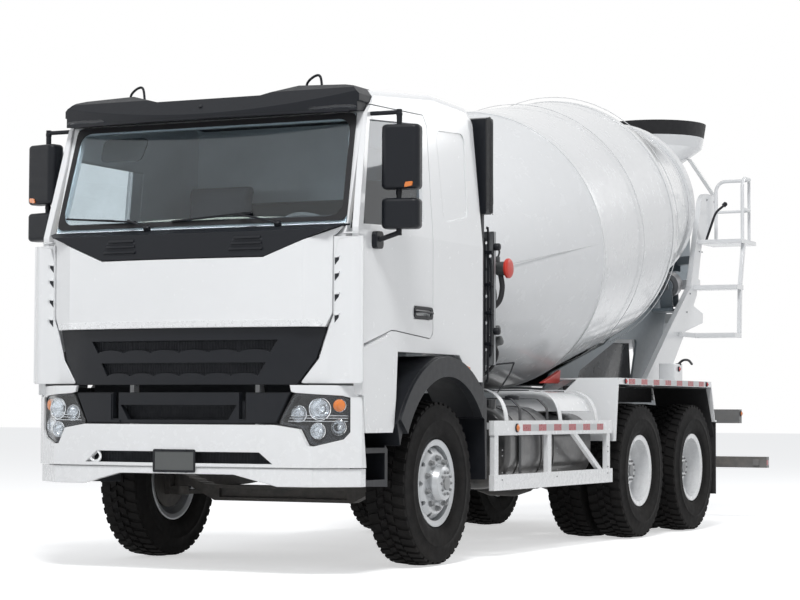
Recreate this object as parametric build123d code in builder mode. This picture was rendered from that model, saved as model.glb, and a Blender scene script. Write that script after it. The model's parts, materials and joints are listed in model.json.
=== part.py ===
"""Concrete mixer truck, 6x4, with a tilting cab and a drum on a rear discharge superstructure.

Millimetres. +Z is up, the front faces -Y and +X is the truck's left side.
The origin is on the ground, in the middle of the whole length and width.
Stations are distances behind the face of the front bumper; at(station) turns one into a Y.
"""
from build123d import *
import os
from math import cos, radians, sin, sqrt

os.makedirs("parts", exist_ok=True)

# ---------------------------------------------------------------- overall
overall_length = 9650
body_half_width = 1240
fit = 0.3                      # running or seating clearance between curved faces
seam = 6                       # visible gap between body panels

# ---------------------------------------------------------------- axles and wheels
front_axle_s = 1471
wheelbase = 3825
bogie_spacing = 1350
mid_axle_s = front_axle_s + wheelbase
rear_axle_s = mid_axle_s + bogie_spacing
hub_height = 552
tyre_radius = 552
tyre_half_width = 154
tread_half_width = 124
bead_radius = 262
flange_radius = 292
rim_half_width = 125
rim_wall = 10
front_tyre_x = 1025
twin_outer_x = 1095
twin_inner_x = 750
hub_face_radius = 196
hand_holes = 10

# ---------------------------------------------------------------- steering
kingpin_x = 835
kingpin_radius = 24
axle_beam_z = 520

# ---------------------------------------------------------------- frame
rail_outer_x = 430
rail_flange = 80
rail_wall = 8
rail_top_z = 1055
rail_height = 290
rail_front_s = 330
rail_rear_s = 8270
rail_bottom_z = rail_top_z - rail_height
gearbox_out_z = hub_height + 190
gearbox_out_s = 2770

# ---------------------------------------------------------------- cab
cab_wall = 45
cab_half_width = 1180
cab_floor_z = 1415
tunnel_top_z = 1560
tunnel_half = 350
cab_rear_s = 2170
cab_belt_z = 2180
cab_roof_z = 3150
cab_pivot_s = 250
cab_pivot_z = 820
door_front_s = 235
door_rear_s = 1345

# ---------------------------------------------------------------- drum
drum_tilt = 11.11              # degrees, rising to the rear
drum_axis_s = 5000             # station where the axis height is given
drum_axis_z = 2409
drum_radius = 1150
drum_wall = 8
drum_head_a = -2130            # distances along the axis from drum_axis_s
drum_head_radius = 560
drum_cone_a = -309
drum_cylinder_a = 1526
drum_ring_a = 3042
drum_ring_radius = 793
drum_ring_width = 110
drum_neck_radius = 745
drum_mouth_a = 3560
drum_mouth_radius = 585
roller_radius = 120
roller_angle = 33              # degrees either side of straight down
support_x = 640                # inner face of the rear side plates
support_top_z = 3160

half_length = overall_length / 2


def at(station):
    """Y of a station behind the bumper face."""
    return station - half_length


def save(piece, name):
    """Label a finished piece and write it as its own STEP file."""
    piece.part.label = name
    export_step(piece.part, f"parts/{name}.step")


def side_plane(x):
    """Plane square to X: local x runs to the rear as a station, local y is the height."""
    return Plane(origin=(x, at(0), 0), x_dir=(0, 1, 0), z_dir=(1, 0, 0))


def cross_plane(station):
    """Plane square to Y at a station: local x is X, local y is the height."""
    return Plane(origin=(0, at(station), 0), x_dir=(1, 0, 0), z_dir=(0, -1, 0))


def wheel_plane(station):
    """Plane through a wheel centre: local x is the axle, local y is a radius."""
    return Plane(origin=(0, at(station), hub_height), x_dir=(1, 0, 0), z_dir=(0, 0, 1))


def axle_axis(station):
    return Axis((0, at(station), hub_height), (1, 0, 0))


# ================================================================ wheels
def revolve_outlines(outlines, station, side):
    """Revolve outlines, joined, about an axle; each is (centre, [(outboard of centre, radius)])."""
    with BuildPart() as piece:
        with BuildSketch(wheel_plane(station)):
            for centre_x, points in outlines:
                with BuildLine():
                    Polyline([(side * (centre_x + x), r) for x, r in points], close=True)
                make_face()
        revolve(axis=axle_axis(station))
    return piece.part


def tyre(station, side, centre_x):
    """A tyre, filled down to its rim, with bulged walls and a slightly crowned tread."""
    def p(x, r):
        return (side * (centre_x + x), r)
    with BuildPart() as piece:
        with BuildSketch(wheel_plane(station)):
            with BuildLine():
                foot = rim_half_width - 17 - 2 * fit
                bead_x = rim_half_width - 12 - 2 * fit
                bead_top_r = flange_radius + 2
                shoulder_r = tyre_radius - 26
                crown_r = tyre_radius - 5
                mid_r = (bead_radius + shoulder_r) / 2
                Polyline(p(-bead_x, bead_top_r), p(-foot, bead_radius), p(foot, bead_radius),
                         p(bead_x, bead_top_r))
                ThreePointArc(p(bead_x, bead_top_r), p(tyre_half_width, mid_r),
                              p(tread_half_width + 14, shoulder_r))
                Line(p(tread_half_width + 14, shoulder_r), p(tread_half_width, crown_r))
                ThreePointArc(p(tread_half_width, crown_r), p(0, tyre_radius),
                              p(-tread_half_width, crown_r))
                Line(p(-tread_half_width, crown_r), p(-tread_half_width - 14, shoulder_r))
                ThreePointArc(p(-tread_half_width - 14, shoulder_r), p(-tyre_half_width, mid_r),
                              p(-bead_x, bead_top_r))
            make_face()
        revolve(axis=axle_axis(station))
    return piece.part


def rim_barrel_points():
    """Well and flanges of one rim, (distance outboard, radius)."""
    seat_r = bead_radius - fit
    lip = rim_half_width
    return [(-lip, flange_radius), (-lip + 12, flange_radius), (-lip + 17, seat_r),
            (lip - 17, seat_r), (lip - 12, flange_radius), (lip, flange_radius),
            (lip, flange_radius - 12), (lip - 8, seat_r - rim_wall),
            (-lip + 8, seat_r - rim_wall), (-lip, flange_radius - 12)]


def front_disc_points():
    """Bulged disc of a steered wheel with its hub end standing out."""
    inner_r = bead_radius - fit - rim_wall / 2
    return [(30, inner_r), (54, inner_r), (92, 236), (122, hub_face_radius + 8),
            (126, hub_face_radius - 6), (126, 132), (150, 128), (188, 112), (196, 92), (196, 0),
            (-30, 0), (-30, 118), (96, 150), (112, hub_face_radius - 4), (80, 226)]


def rear_disc_points():
    """Deep dished disc of a driven wheel with the hub end in the dish."""
    inner_r = bead_radius - fit - rim_wall / 2
    return [(44, inner_r), (66, inner_r), (-30, 236), (-76, hub_face_radius + 8),
            (-84, hub_face_radius - 6), (-84, 142), (-40, 136), (30, 112), (44, 92), (44, 0),
            (-190, 0), (-190, 132), (-98, 150), (-98, hub_face_radius), (-60, 230)]


def cut_hand_holes(station, centre_x, circle_r, hole_r):
    """Ring of hand holes through a disc, inside the builder that calls this."""
    with BuildSketch(Plane(origin=(centre_x, at(station), hub_height), x_dir=(0, 1, 0),
                           z_dir=(1, 0, 0))) as holes:
        with PolarLocations(circle_r, hand_holes):
            Circle(hole_r)
    extrude(holes.sketch, amount=220, both=True, mode=Mode.SUBTRACT)


def front_rim(side):
    with BuildPart() as piece:
        add(revolve_outlines([(front_tyre_x, front_disc_points()),
                              (front_tyre_x, rim_barrel_points())], front_axle_s, side))
        cut_hand_holes(front_axle_s, side * front_tyre_x, 222, 17)
    return piece


def rear_rim(station, side):
    """Two rims of a twin wheel, their discs bolted together on one hub."""
    with BuildPart() as piece:
        spacing = twin_outer_x - twin_inner_x
        mate = [(spacing - 98, 170), (spacing - 98, hub_face_radius), (spacing - 160, 232),
                (106, bead_radius - fit - 5), (84, bead_radius - fit - 5), (spacing - 182, 222),
                (spacing - 118, 170)]
        add(revolve_outlines([(twin_outer_x, rear_disc_points()), (twin_inner_x, mate),
                              (twin_outer_x, rim_barrel_points()),
                              (twin_inner_x, rim_barrel_points())], station, side))
        cut_hand_holes(station, side * twin_outer_x, 216, 19)
    return piece


for side, tag in ((1, "left"), (-1, "right")):
    save(front_rim(side), f"rim_front_{tag}")
    with BuildPart() as tyre_front:
        add(tyre(front_axle_s, side, front_tyre_x))
    save(tyre_front, f"tyre_front_{tag}")
    for station, row in ((mid_axle_s, "mid"), (rear_axle_s, "rear")):
        save(rear_rim(station, side), f"rim_{row}_{tag}")
        with BuildPart() as tyre_pair:
            add(tyre(station, side, twin_outer_x))
            add(tyre(station, side, twin_inner_x))
        save(tyre_pair, f"tyres_{row}_{tag}")

# ================================================================ steering knuckles and axles
eye_half = 51.5                # half height of the beam's kingpin eye
eye_radius = 50
fork_reach = 112               # top of the fork above the hub centre
back_plate_x = kingpin_x + 100
hub_inner_x = front_tyre_x - 30          # inner end of the turning hub
for side, tag in ((1, "left"), (-1, "right")):
    front_wheel_side = Plane(origin=(side * back_plate_x, at(front_axle_s), hub_height),
                             x_dir=(0, 1, 0), z_dir=(side, 0, 0))
    with BuildPart() as knuckle:
        # fork above and below the beam's eye
        fork_gap = eye_half + fit
        for low in (hub_height + fork_gap, hub_height - fork_reach):
            with BuildSketch(Plane.XY.offset(low)):
                with Locations((side * kingpin_x, at(front_axle_s))):
                    Circle(eye_radius)
                with Locations((side * (kingpin_x + 52), at(front_axle_s))):
                    Rectangle(104, 2 * eye_radius)
            extrude(amount=fork_reach - fork_gap)
        with BuildSketch(Plane.XY.offset(hub_height - fork_reach)):
            with Locations((side * (kingpin_x + 82), at(front_axle_s))):
                Rectangle(44, 130)
        extrude(amount=2 * fork_reach)
        with BuildSketch(Plane.XY.offset(hub_height - fork_reach)):
            with Locations((side * kingpin_x, at(front_axle_s))):
                Circle(kingpin_radius)
        extrude(amount=2 * fork_reach)
        # brake back plate and spindle
        with BuildSketch(front_wheel_side):
            Circle(205)
        extrude(amount=20)
        with BuildSketch(front_wheel_side):
            Circle(70)
        extrude(amount=hub_inner_x - fit - back_plate_x)
        # steering arm to the rear
        with BuildSketch(Plane.XY.offset(hub_height - fork_reach)):
            with BuildLine():
                Polyline([(side * kingpin_x, at(front_axle_s + 20)),
                          (side * (kingpin_x + 60), at(front_axle_s + 20)),
                          (side * (kingpin_x - 40), at(front_axle_s + 250)),
                          (side * (kingpin_x - 95), at(front_axle_s + 250))], close=True)
            make_face()
        extrude(amount=32)
    save(knuckle, f"knuckle_{tag}")

with BuildPart() as front_axle:
    # drop beam of I section between the kingpin eyes
    beam_drop = 60
    outline = [(-kingpin_x, hub_height - 50), (-kingpin_x, hub_height + 50),
               (-kingpin_x + 90, hub_height + 50), (-560, axle_beam_z - beam_drop + 55),
               (560, axle_beam_z - beam_drop + 55), (kingpin_x - 90, hub_height + 50),
               (kingpin_x, hub_height + 50), (kingpin_x, hub_height - 50),
               (kingpin_x - 100, hub_height - 50), (540, axle_beam_z - beam_drop - 55),
               (-540, axle_beam_z - beam_drop - 55), (-kingpin_x + 100, hub_height - 50)]
    with BuildSketch(cross_plane(front_axle_s)):
        with BuildLine():
            Polyline(outline, close=True)
        make_face()
    extrude(amount=50, both=True)
    with BuildSketch(Plane.XY.offset(hub_height - eye_half)):
        with Locations((kingpin_x, at(front_axle_s)), (-kingpin_x, at(front_axle_s))):
            Circle(eye_radius)
    extrude(amount=2 * eye_half)
    with BuildSketch(Plane.XY.offset(hub_height - eye_half)):
        with Locations((kingpin_x, at(front_axle_s)), (-kingpin_x, at(front_axle_s))):
            Circle(kingpin_radius + fit)
    extrude(amount=2 * eye_half, mode=Mode.SUBTRACT)
    for side_y in (-1, 1):
        with BuildSketch(cross_plane(front_axle_s + side_y * 62)):
            with BuildLine():
                Polyline([(-500, axle_beam_z - beam_drop - 30), (-500, axle_beam_z - beam_drop + 30),
                          (500, axle_beam_z - beam_drop + 30), (500, axle_beam_z - beam_drop - 30)],
                         close=True)
            make_face()
        extrude(amount=42, both=True, mode=Mode.SUBTRACT)
save(front_axle, "front_axle")

spring_x = 425
spring_half = 45
bogie_spring_x = rail_outer_x + spring_half + 1


def leaf_stack(centre_s, low_z, rise, reach, leaves, thick, longest_low):
    """Side outlines of a leaf spring, each leaf shorter than the next, in the sketch that calls."""
    for leaf in range(leaves):
        rank = leaf if longest_low else leaves - 1 - leaf
        half = reach * (1 - 0.6 * rank / (leaves - 1))
        middle_z = low_z + leaf * thick
        end_z = middle_z + rise * (half / reach) ** 2
        with BuildLine() as outline:
            ThreePointArc((centre_s - half, end_z), (centre_s, middle_z), (centre_s + half, end_z))
            Line((centre_s + half, end_z), (centre_s + half, end_z + thick + 0.4))
            ThreePointArc((centre_s + half, end_z + thick + 0.4), (centre_s, middle_z + thick + 0.4),
                          (centre_s - half, end_z + thick + 0.4))
            Line((centre_s - half, end_z + thick + 0.4), (centre_s - half, end_z))
        make_face(outline.edges())


with BuildPart() as leaf_springs:
    # front packs, bowed, with hangers up to the rail
    seat_z = axle_beam_z - beam_drop + 55
    for side in (-1, 1):
        with BuildSketch(side_plane(side * spring_x)):
            eye_z = seat_z + 150
            leaf_stack(front_axle_s, seat_z, 95, 800, 6, 11, False)
        extrude(amount=spring_half, both=True)
        for end in (-1, 1):
            with BuildSketch(side_plane(side * spring_x)):
                with BuildLine():
                    hang_s = front_axle_s + end * 800
                    Polyline([(hang_s - 45, eye_z - 30), (hang_s + 45, eye_z - 30),
                              (hang_s + 70, rail_bottom_z), (hang_s - 70, rail_bottom_z)],
                             close=True)
                make_face()
            extrude(amount=spring_half + 4, both=True)
    # rear bogie packs turned upside down on their trunnion
    bogie_s = (mid_axle_s + rear_axle_s) / 2
    for side in (-1, 1):
        with BuildSketch(side_plane(side * bogie_spring_x)):
            leaf_stack(bogie_s, hub_height + 170, -75, bogie_spacing / 2 + 60, 8, 14, True)
        extrude(amount=spring_half, both=True)
        # saddle bracket on the rail with the trunnion stub the pack swings on
        with BuildSketch(side_plane(side * rail_outer_x)):
            with BuildLine():
                Polyline([(bogie_s - 300, rail_bottom_z + 60), (bogie_s + 300, rail_bottom_z + 60),
                          (bogie_s + 130, hub_height + 40), (bogie_s + 90, hub_height - 60),
                          (bogie_s - 90, hub_height - 60), (bogie_s - 130, hub_height + 40)],
                         close=True)
            make_face()
        extrude(amount=side * 20)
        with BuildSketch(side_plane(side * rail_outer_x)):
            with Locations((bogie_s, hub_height + 60)):
                Circle(90)
        extrude(amount=side * 130)
        # seat pads between the pack ends and the axle tubes
        for station in (mid_axle_s, rear_axle_s):
            with BuildSketch(side_plane(side * (bogie_spring_x - spring_half))):
                with Locations((station, hub_height + 98)):
                    Rectangle(110, 30)
            extrude(amount=side * 2 * spring_half)
save(leaf_springs, "leaf_springs")

with BuildPart() as drive_axles:
    for station in (mid_axle_s, rear_axle_s):
        end_x = twin_outer_x - 190 - fit
        with BuildSketch(Plane(origin=(0, at(station), hub_height), x_dir=(1, 0, 0),
                               z_dir=(0, 0, 1))):
            with BuildLine():
                Polyline([(-end_x, 0), (-end_x, 72), (-480, 78), (-330, 92), (-240, 190),
                          (-110, 232), (110, 232), (240, 190), (330, 92), (480, 78), (end_x, 72),
                          (end_x, 0)], close=True)
            make_face()
        revolve(axis=axle_axis(station))
        with BuildSketch(cross_plane(station)):
            with Locations((0, hub_height + 40)):
                Circle(105)
        extrude(amount=330)
        # brake drums behind the inner wheels
        for side in (-1, 1):
            with BuildSketch(Plane(origin=(side * 535, at(station), hub_height), x_dir=(0, 1, 0),
                                   z_dir=(side, 0, 0))):
                Circle(200)
            extrude(amount=70)
    # propeller shafts: gearbox to middle axle, middle axle to rear axle
    for start, end in (((gearbox_out_s + 12, gearbox_out_z), (mid_axle_s - 325, hub_height + 40)),
                       ((mid_axle_s + 100, hub_height + 60), (rear_axle_s - 325, hub_height + 40))):
        run = Vector(0, end[0] - start[0], end[1] - start[1])
        with BuildSketch(Plane(origin=(0, at(start[0]), start[1]), x_dir=(1, 0, 0), z_dir=run)):
            Circle(62)
        extrude(amount=run.length)
save(drive_axles, "drive_axles")

# ================================================================ frame, engine and tanks
crossmember_s = (420, 3000, 3900, 4700, (mid_axle_s + rear_axle_s) / 2, 7400, rail_rear_s - 60)
crossmember_height = 170
tow_s = rail_rear_s + 130
tow_z = (800, 900)
tow_half = 60
tow_ear = 22
tow_bore_radius = 21
pivot_pin_radius = 25
pivot_boss_radius = 42
with BuildPart() as frame_rails:
    for side in (-1, 1):
        with BuildSketch(cross_plane(rail_front_s)):
            with Locations((side * (rail_outer_x - rail_flange / 2), rail_top_z - rail_height / 2)):
                Rectangle(rail_flange, rail_height)
            with Locations((side * (rail_outer_x - rail_wall - rail_flange / 2),
                            rail_top_z - rail_height / 2)):
                Rectangle(rail_flange, rail_height - 2 * rail_wall, mode=Mode.SUBTRACT)
        extrude(amount=-(rail_rear_s - rail_front_s))
    for station in crossmember_s:
        with BuildSketch(side_plane(-rail_outer_x + rail_wall)):
            with Locations((station, rail_top_z - 30 - crossmember_height / 2)):
                Rectangle(90, crossmember_height)
                with Locations((rail_wall, 0)):
                    Rectangle(90, crossmember_height - 2 * rail_wall, mode=Mode.SUBTRACT)
        extrude(amount=2 * (rail_outer_x - rail_wall))
    # front brackets with the pins that the cab tilts on
    for side in (-1, 1):
        with BuildSketch(side_plane(side * rail_outer_x)):
            with BuildLine():
                Polyline([(cab_pivot_s - 45, cab_pivot_z - 45), (cab_pivot_s - 45, cab_pivot_z + 45),
                          (rail_front_s + 60, rail_top_z - 10), (rail_front_s + 200, rail_top_z - 10),
                          (rail_front_s + 200, rail_bottom_z + 10)], close=True)
            make_face()
        extrude(amount=side * 20)
        with BuildSketch(side_plane(side * rail_outer_x)):
            with Locations((cab_pivot_s, cab_pivot_z)):
                Circle(pivot_pin_radius)
        extrude(amount=side * 70)
    # rear tow jaw: two ears with a vertical pin bore
    with BuildSketch(side_plane(-tow_half)):
        with BuildLine():
            Polyline([(rail_rear_s - 110, tow_z[0]), (rail_rear_s - 110, tow_z[1]),
                      (tow_s + 45, tow_z[1]), (tow_s + 45, tow_z[1] - tow_ear),
                      (rail_rear_s - 40, tow_z[1] - tow_ear), (rail_rear_s - 40, tow_z[0] + tow_ear),
                      (tow_s + 45, tow_z[0] + tow_ear), (tow_s + 45, tow_z[0])], close=True)
        make_face()
    extrude(amount=2 * tow_half)
    with BuildSketch(Plane.XY.offset(tow_z[0])):
        with Locations((0, at(tow_s))):
            Circle(tow_bore_radius)
    extrude(amount=tow_z[1] - tow_z[0], mode=Mode.SUBTRACT)
    # its spine up to the rear crossmember
    with BuildSketch(side_plane(-30)):
        with Locations((rail_rear_s - 75, (tow_z[1] + rail_top_z - 100) / 2)):
            Rectangle(70, rail_top_z - 100 - tow_z[1])
    extrude(amount=60)
save(frame_rails, "frame_rails")

engine_top_z = 1480
engine_s = (700, 1960)
gearbox_length = 640
flange_length = 170
with BuildPart() as engine:
    # engine with sump, gearbox behind it, radiator pack in front, mounts out to the rails
    with BuildSketch(side_plane(-290)):
        with BuildLine():
            Polyline([(engine_s[0], 720), (engine_s[0], engine_top_z), (engine_s[1] - 200, engine_top_z),
                      (engine_s[1], 1200), (engine_s[1], 640), (engine_s[1] - 420, 600),
                      (engine_s[0] + 420, 720)], close=True)
        make_face()
    extrude(amount=580)
    # the sump clears the dropped middle of the axle beam
    with BuildSketch(side_plane(-290)):
        with Locations((front_axle_s, 600)):
            Rectangle(260, 100)
    extrude(amount=580, mode=Mode.SUBTRACT)
    with BuildSketch(cross_plane(engine_s[1])):
        with Locations((0, 830)):
            RectangleRounded(430, 400, 90)
    extrude(amount=-gearbox_length)
    with BuildSketch(cross_plane(engine_s[1] + gearbox_length)):
        with Locations((0, gearbox_out_z)):
            Circle(85)
    extrude(amount=-flange_length)
    with BuildSketch(cross_plane(560)):
        with Locations((0, 1030)):
            Rectangle(690, 620)
    extrude(amount=-90)
    with BuildSketch(cross_plane(640)):
        with Locations((0, 930)):
            Circle(120)
    extrude(amount=-70)
    for station in (engine_s[0] + 200, engine_s[1] - 200):
        with BuildSketch(cross_plane(station)):
            with Locations((0, 850)):
                Rectangle(2 * (rail_outer_x - rail_wall), 90)
        extrude(amount=-80)
save(engine, "engine")

tank_s = (2680, 3560)
tank_z = 770
tank_x = 860
tank_radius = 300
water_tank_s = (3700, 4480)
with BuildPart() as side_tanks:
    # fuel tank with its straps and brackets
    with BuildSketch(cross_plane(tank_s[0])):
        with Locations((tank_x, tank_z)):
            RectangleRounded(2 * tank_radius, 2 * tank_radius, 250)
    extrude(amount=-(tank_s[1] - tank_s[0]))
    fillet([edge for edge in side_tanks.edges() if abs(edge.tangent_at(0.5).Y) < 0.1], 45)
    # filler neck and cap
    with BuildSketch(Plane.XY.offset(tank_z + tank_radius - 60)):
        with Locations((tank_x + 90, at(tank_s[0] + 130))):
            Circle(52)
    extrude(amount=110)
    for station in (tank_s[0] + 180, tank_s[1] - 260):
        with BuildSketch(cross_plane(station)):
            with Locations((tank_x, tank_z)):
                RectangleRounded(2 * tank_radius + 12, 2 * tank_radius + 12, 256)
        extrude(amount=-80)
        with BuildSketch(cross_plane(station)):
            with BuildLine():
                Polyline([(rail_outer_x, rail_bottom_z + 20), (rail_outer_x, rail_top_z - 30),
                          (tank_x - tank_radius + 120, rail_top_z - 30),
                          (tank_x - tank_radius + 20, tank_z)], close=True)
            make_face()
        extrude(amount=-80)
    # flushing-water tank behind it on two brackets
    with BuildSketch(cross_plane(water_tank_s[0])):
        with Locations((tank_x - 20, tank_z - 10)):
            RectangleRounded(520, 520, 200)
    extrude(amount=-(water_tank_s[1] - water_tank_s[0]))
    for station in (water_tank_s[0] + 120, water_tank_s[1] - 200):
        with BuildSketch(cross_plane(station)):
            with Locations(((rail_outer_x + tank_x - 240) / 2, tank_z + 60)):
                Rectangle(tank_x - 240 - rail_outer_x, 110)
        extrude(amount=-80)
save(side_tanks, "side_tanks")

with BuildPart() as silencer:
    # exhaust box and battery box on the right-hand rail
    with BuildSketch(cross_plane(2700)):
        with Locations((-(tank_x - 40), 760)):
            RectangleRounded(560, 520, 120)
    extrude(amount=-700)
    with BuildSketch(cross_plane(3700)):
        with Locations((-(tank_x - 60), 760)):
            Rectangle(520, 460)
    extrude(amount=-620)
    for station in (2780, 3300, 3760, 4200):
        with BuildSketch(cross_plane(station)):
            with Locations((-(rail_outer_x + 75), 860)):
                Rectangle(150, 120)
        extrude(amount=-60)
save(silencer, "exhaust_and_battery_boxes")

# ================================================================ front end below the cab
bumper_half = 1200
skirt_low_z = 560
skirt_top_z = 672
bumper_low_z = skirt_top_z + seam
bumper_top_z = 1120
bumper_mid_top_z = 950
bumper_wall = 40
bumper_rear_s = 345
bumper_bow = 66                # how far the shoulders lie behind the middle
bumper_corner_s = 262


def bowed_outline(front_s, half, corner_s, rear_s):
    """Outline seen from above: bowed front, swept corners, straight sides and back."""
    shoulder = half * 0.8
    with BuildLine() as outline:
        ThreePointArc((-shoulder, at(front_s + bumper_bow)), (0, at(front_s)),
                      (shoulder, at(front_s + bumper_bow)))
        Polyline((shoulder, at(front_s + bumper_bow)), (half, at(corner_s)), (half, at(rear_s)),
                 (-half, at(rear_s)), (-half, at(corner_s)), (-shoulder, at(front_s + bumper_bow)))
    make_face(outline.edges())


def bowed_shell(low, high, front_s, half, corner_s, rear_s, wall):
    """Upright bowed panel of one thickness, open to the rear, in the builder that calls this."""
    with BuildSketch(Plane.XY.offset(low)) as outer:
        bowed_outline(front_s, half, corner_s, rear_s)
    extrude(outer.sketch, amount=high - low)
    with BuildSketch(Plane.XY.offset(low)) as inner:
        bowed_outline(front_s + wall, half - wall, corner_s + wall * 0.6, rear_s + wall)
    extrude(inner.sketch, amount=high - low, mode=Mode.SUBTRACT)


def bowed_sheet(low, high, front_s, half, corner_s, wall):
    """Upright bowed sheet with both faces of one plan curve, in the builder that calls this."""
    shoulder = half * 0.8
    bow_s = front_s + bumper_bow
    with BuildSketch(Plane.XY.offset(low)) as sheet:
        with BuildLine():
            for shift in (0, wall):
                ThreePointArc((-shoulder, at(bow_s + shift)), (0, at(front_s + shift)),
                              (shoulder, at(bow_s + shift)))
                Line((shoulder, at(bow_s + shift)), (half, at(corner_s + shift)))
                Line((-shoulder, at(bow_s + shift)), (-half, at(corner_s + shift)))
            Line((half, at(corner_s)), (half, at(corner_s + wall)))
            Line((-half, at(corner_s)), (-half, at(corner_s + wall)))
        make_face()
    extrude(sheet.sketch, amount=high - low)


def keep_front(points, depth=600):
    """Keep only what lies behind an outline seen from the front, in the builder that calls this."""
    with BuildSketch(cross_plane(-60)) as outline:
        with BuildLine():
            Polyline(points, close=True)
        make_face()
    extrude(outline.sketch, amount=-depth, mode=Mode.INTERSECT)


def side_cut(points, x_low, x_high):
    """Cut a side outline from x_low to x_high, in the builder that calls this."""
    with BuildSketch(side_plane(x_low)) as opening:
        with BuildLine():
            Polyline(points, close=True)
        make_face()
    extrude(opening.sketch, amount=x_high - x_low, mode=Mode.SUBTRACT)


def cut_through_front(points, depth=320):
    """Cut an outline seen from the front through the nose, in the builder that calls this."""
    with BuildSketch(cross_plane(-60)) as opening:
        with BuildLine():
            Polyline(points, close=True)
        make_face()
    extrude(opening.sketch, amount=-depth, mode=Mode.SUBTRACT)


lamp_points = [(712, 950), (868, 926), (925, 824), (962, 818), (1108, 862), (1138, 905),
               (1132, 1104), (1100, 1122), (832, 1140), (815, 1128)]
beam_z = (640, 735)
lamp_bracket_s = 355 - 0.3
beam_s = (190, 330)
beam_half = 1080
tilt_arm_x = rail_outer_x + 24
with BuildPart() as bumper_panel:
    bowed_shell(bumper_low_z, bumper_top_z, 0, bumper_half, bumper_corner_s, bumper_rear_s,
                bumper_wall)
    # the middle ends at the grille and the sides carry the lamps
    cut_through_front([(-1142, bumper_top_z + 40), (-1142, 900), (-1110, 856), (-962, 812),
                       (-920, 816), (-866, 918), (-700, bumper_mid_top_z - seam),
                       (700, bumper_mid_top_z - seam), (866, 918), (920, 816), (962, 812),
                       (1110, 856), (1142, 900), (1142, bumper_top_z + 40)], 480)
    cut_through_front([(-600, 772), (600, 772), (690, 700), (-690, 700)])
    side_cut([(200, 1200), (262, bumper_top_z), (340, 560), (400, 560), (400, 1200)],
             -bumper_half - 10, bumper_half + 10)
with BuildPart() as bumper_skirt:
    bowed_shell(skirt_low_z, skirt_top_z, 8, bumper_half - 10, bumper_corner_s + 8,
                bumper_rear_s - 10, bumper_wall)
    # the lip rises towards the middle
    cut_through_front([(-760, skirt_low_z - 10), (-420, 632), (420, 632), (760, skirt_low_z - 10)])
with BuildPart() as bumper:
    add(bumper_panel.part)
    add(bumper_skirt.part)
    # cross beam that carries both panels on the frame
    with BuildSketch(cross_plane(beam_s[0])):
        with Locations((0, sum(beam_z) / 2)):
            Rectangle(2 * beam_half, beam_z[1] - beam_z[0])
    extrude(amount=-(beam_s[1] - beam_s[0]))
    for side in (-1, 1):
        with BuildSketch(side_plane(side * (rail_outer_x - 70))):
            with BuildLine():
                Polyline([(beam_s[1] - 20, beam_z[0] + 10), (beam_s[1] - 20, beam_z[1]),
                          (rail_front_s + 130, rail_bottom_z), (rail_front_s + 230, rail_bottom_z)],
                         close=True)
            make_face()
        extrude(amount=side * 50)
save(bumper, "bumper")

with BuildPart() as bumper_grille:
    # black middle of the bumper with its air slot
    bowed_sheet(bumper_mid_top_z, 1146, 22, 1000, 190, 40)
    keep_front([(-700, 950), (-640, 944), (640, 944), (700, 950), (790, 1146), (-790, 1146)])
    cut_through_front([(-430, 1066), (430, 1066), (370, 972), (-370, 972)])
    for side in (-1, 1):
        # slot that the cab's tilt arm swings out through
        cut_through_front([(side * (tilt_arm_x - 8), 1200), (side * (tilt_arm_x + 38), 1200),
                           (side * (tilt_arm_x + 38), 978), (side * (tilt_arm_x - 8), 978)])
        with BuildSketch(side_plane(side * 560)):
            with BuildLine():
                Polyline([(75, 1050), (beam_s[0] + 60, 1050), (beam_s[0] + 60, beam_z[1]),
                          (beam_s[0], beam_z[1]), (beam_s[0], 960), (75, 960)], close=True)
            make_face()
        extrude(amount=side * 40)
save(bumper_grille, "bumper_grille")

with BuildPart() as headlights:
    for side in (-1, 1):
        with BuildSketch(cross_plane(70)):
            with BuildLine():
                Polyline([(side * x, z) for x, z in lamp_points], close=True)
            make_face()
        extrude(amount=-230)
        # bracket back to the step panel frame
        with BuildSketch(cross_plane(300)):
            with Locations((side * 900, 1000)):
                Rectangle(80, 120)
        extrude(amount=-(lamp_bracket_s - 300))
    # front follows the bow of the bumper
    with BuildSketch(Plane.XY.offset(790)):
        with BuildLine():
            Polyline([(-1300, at(-100)), (1300, at(-100)), (1300, at(330)), (1145, at(235)),
                      (970, at(95)), (690, at(62)), (-690, at(62)), (-970, at(95)),
                      (-1145, at(235)), (-1300, at(330))], close=True)
        make_face()
    extrude(amount=400, mode=Mode.SUBTRACT)
save(headlights, "headlights")

# ================================================================ front mudguards with steps
arch_inner_r = 712
arch_outer_r = 850
guard_inner_x = 880
guard_bracket_s = (640, 2120)
step_front_s = 355
step_rear_s = 745


def arch_point(radius, angle):
    """Station and height of a point round the front wheel, angle in degrees from the rear."""
    return (front_axle_s + radius * cos(radians(angle)), hub_height + radius * sin(radians(angle)))


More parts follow.
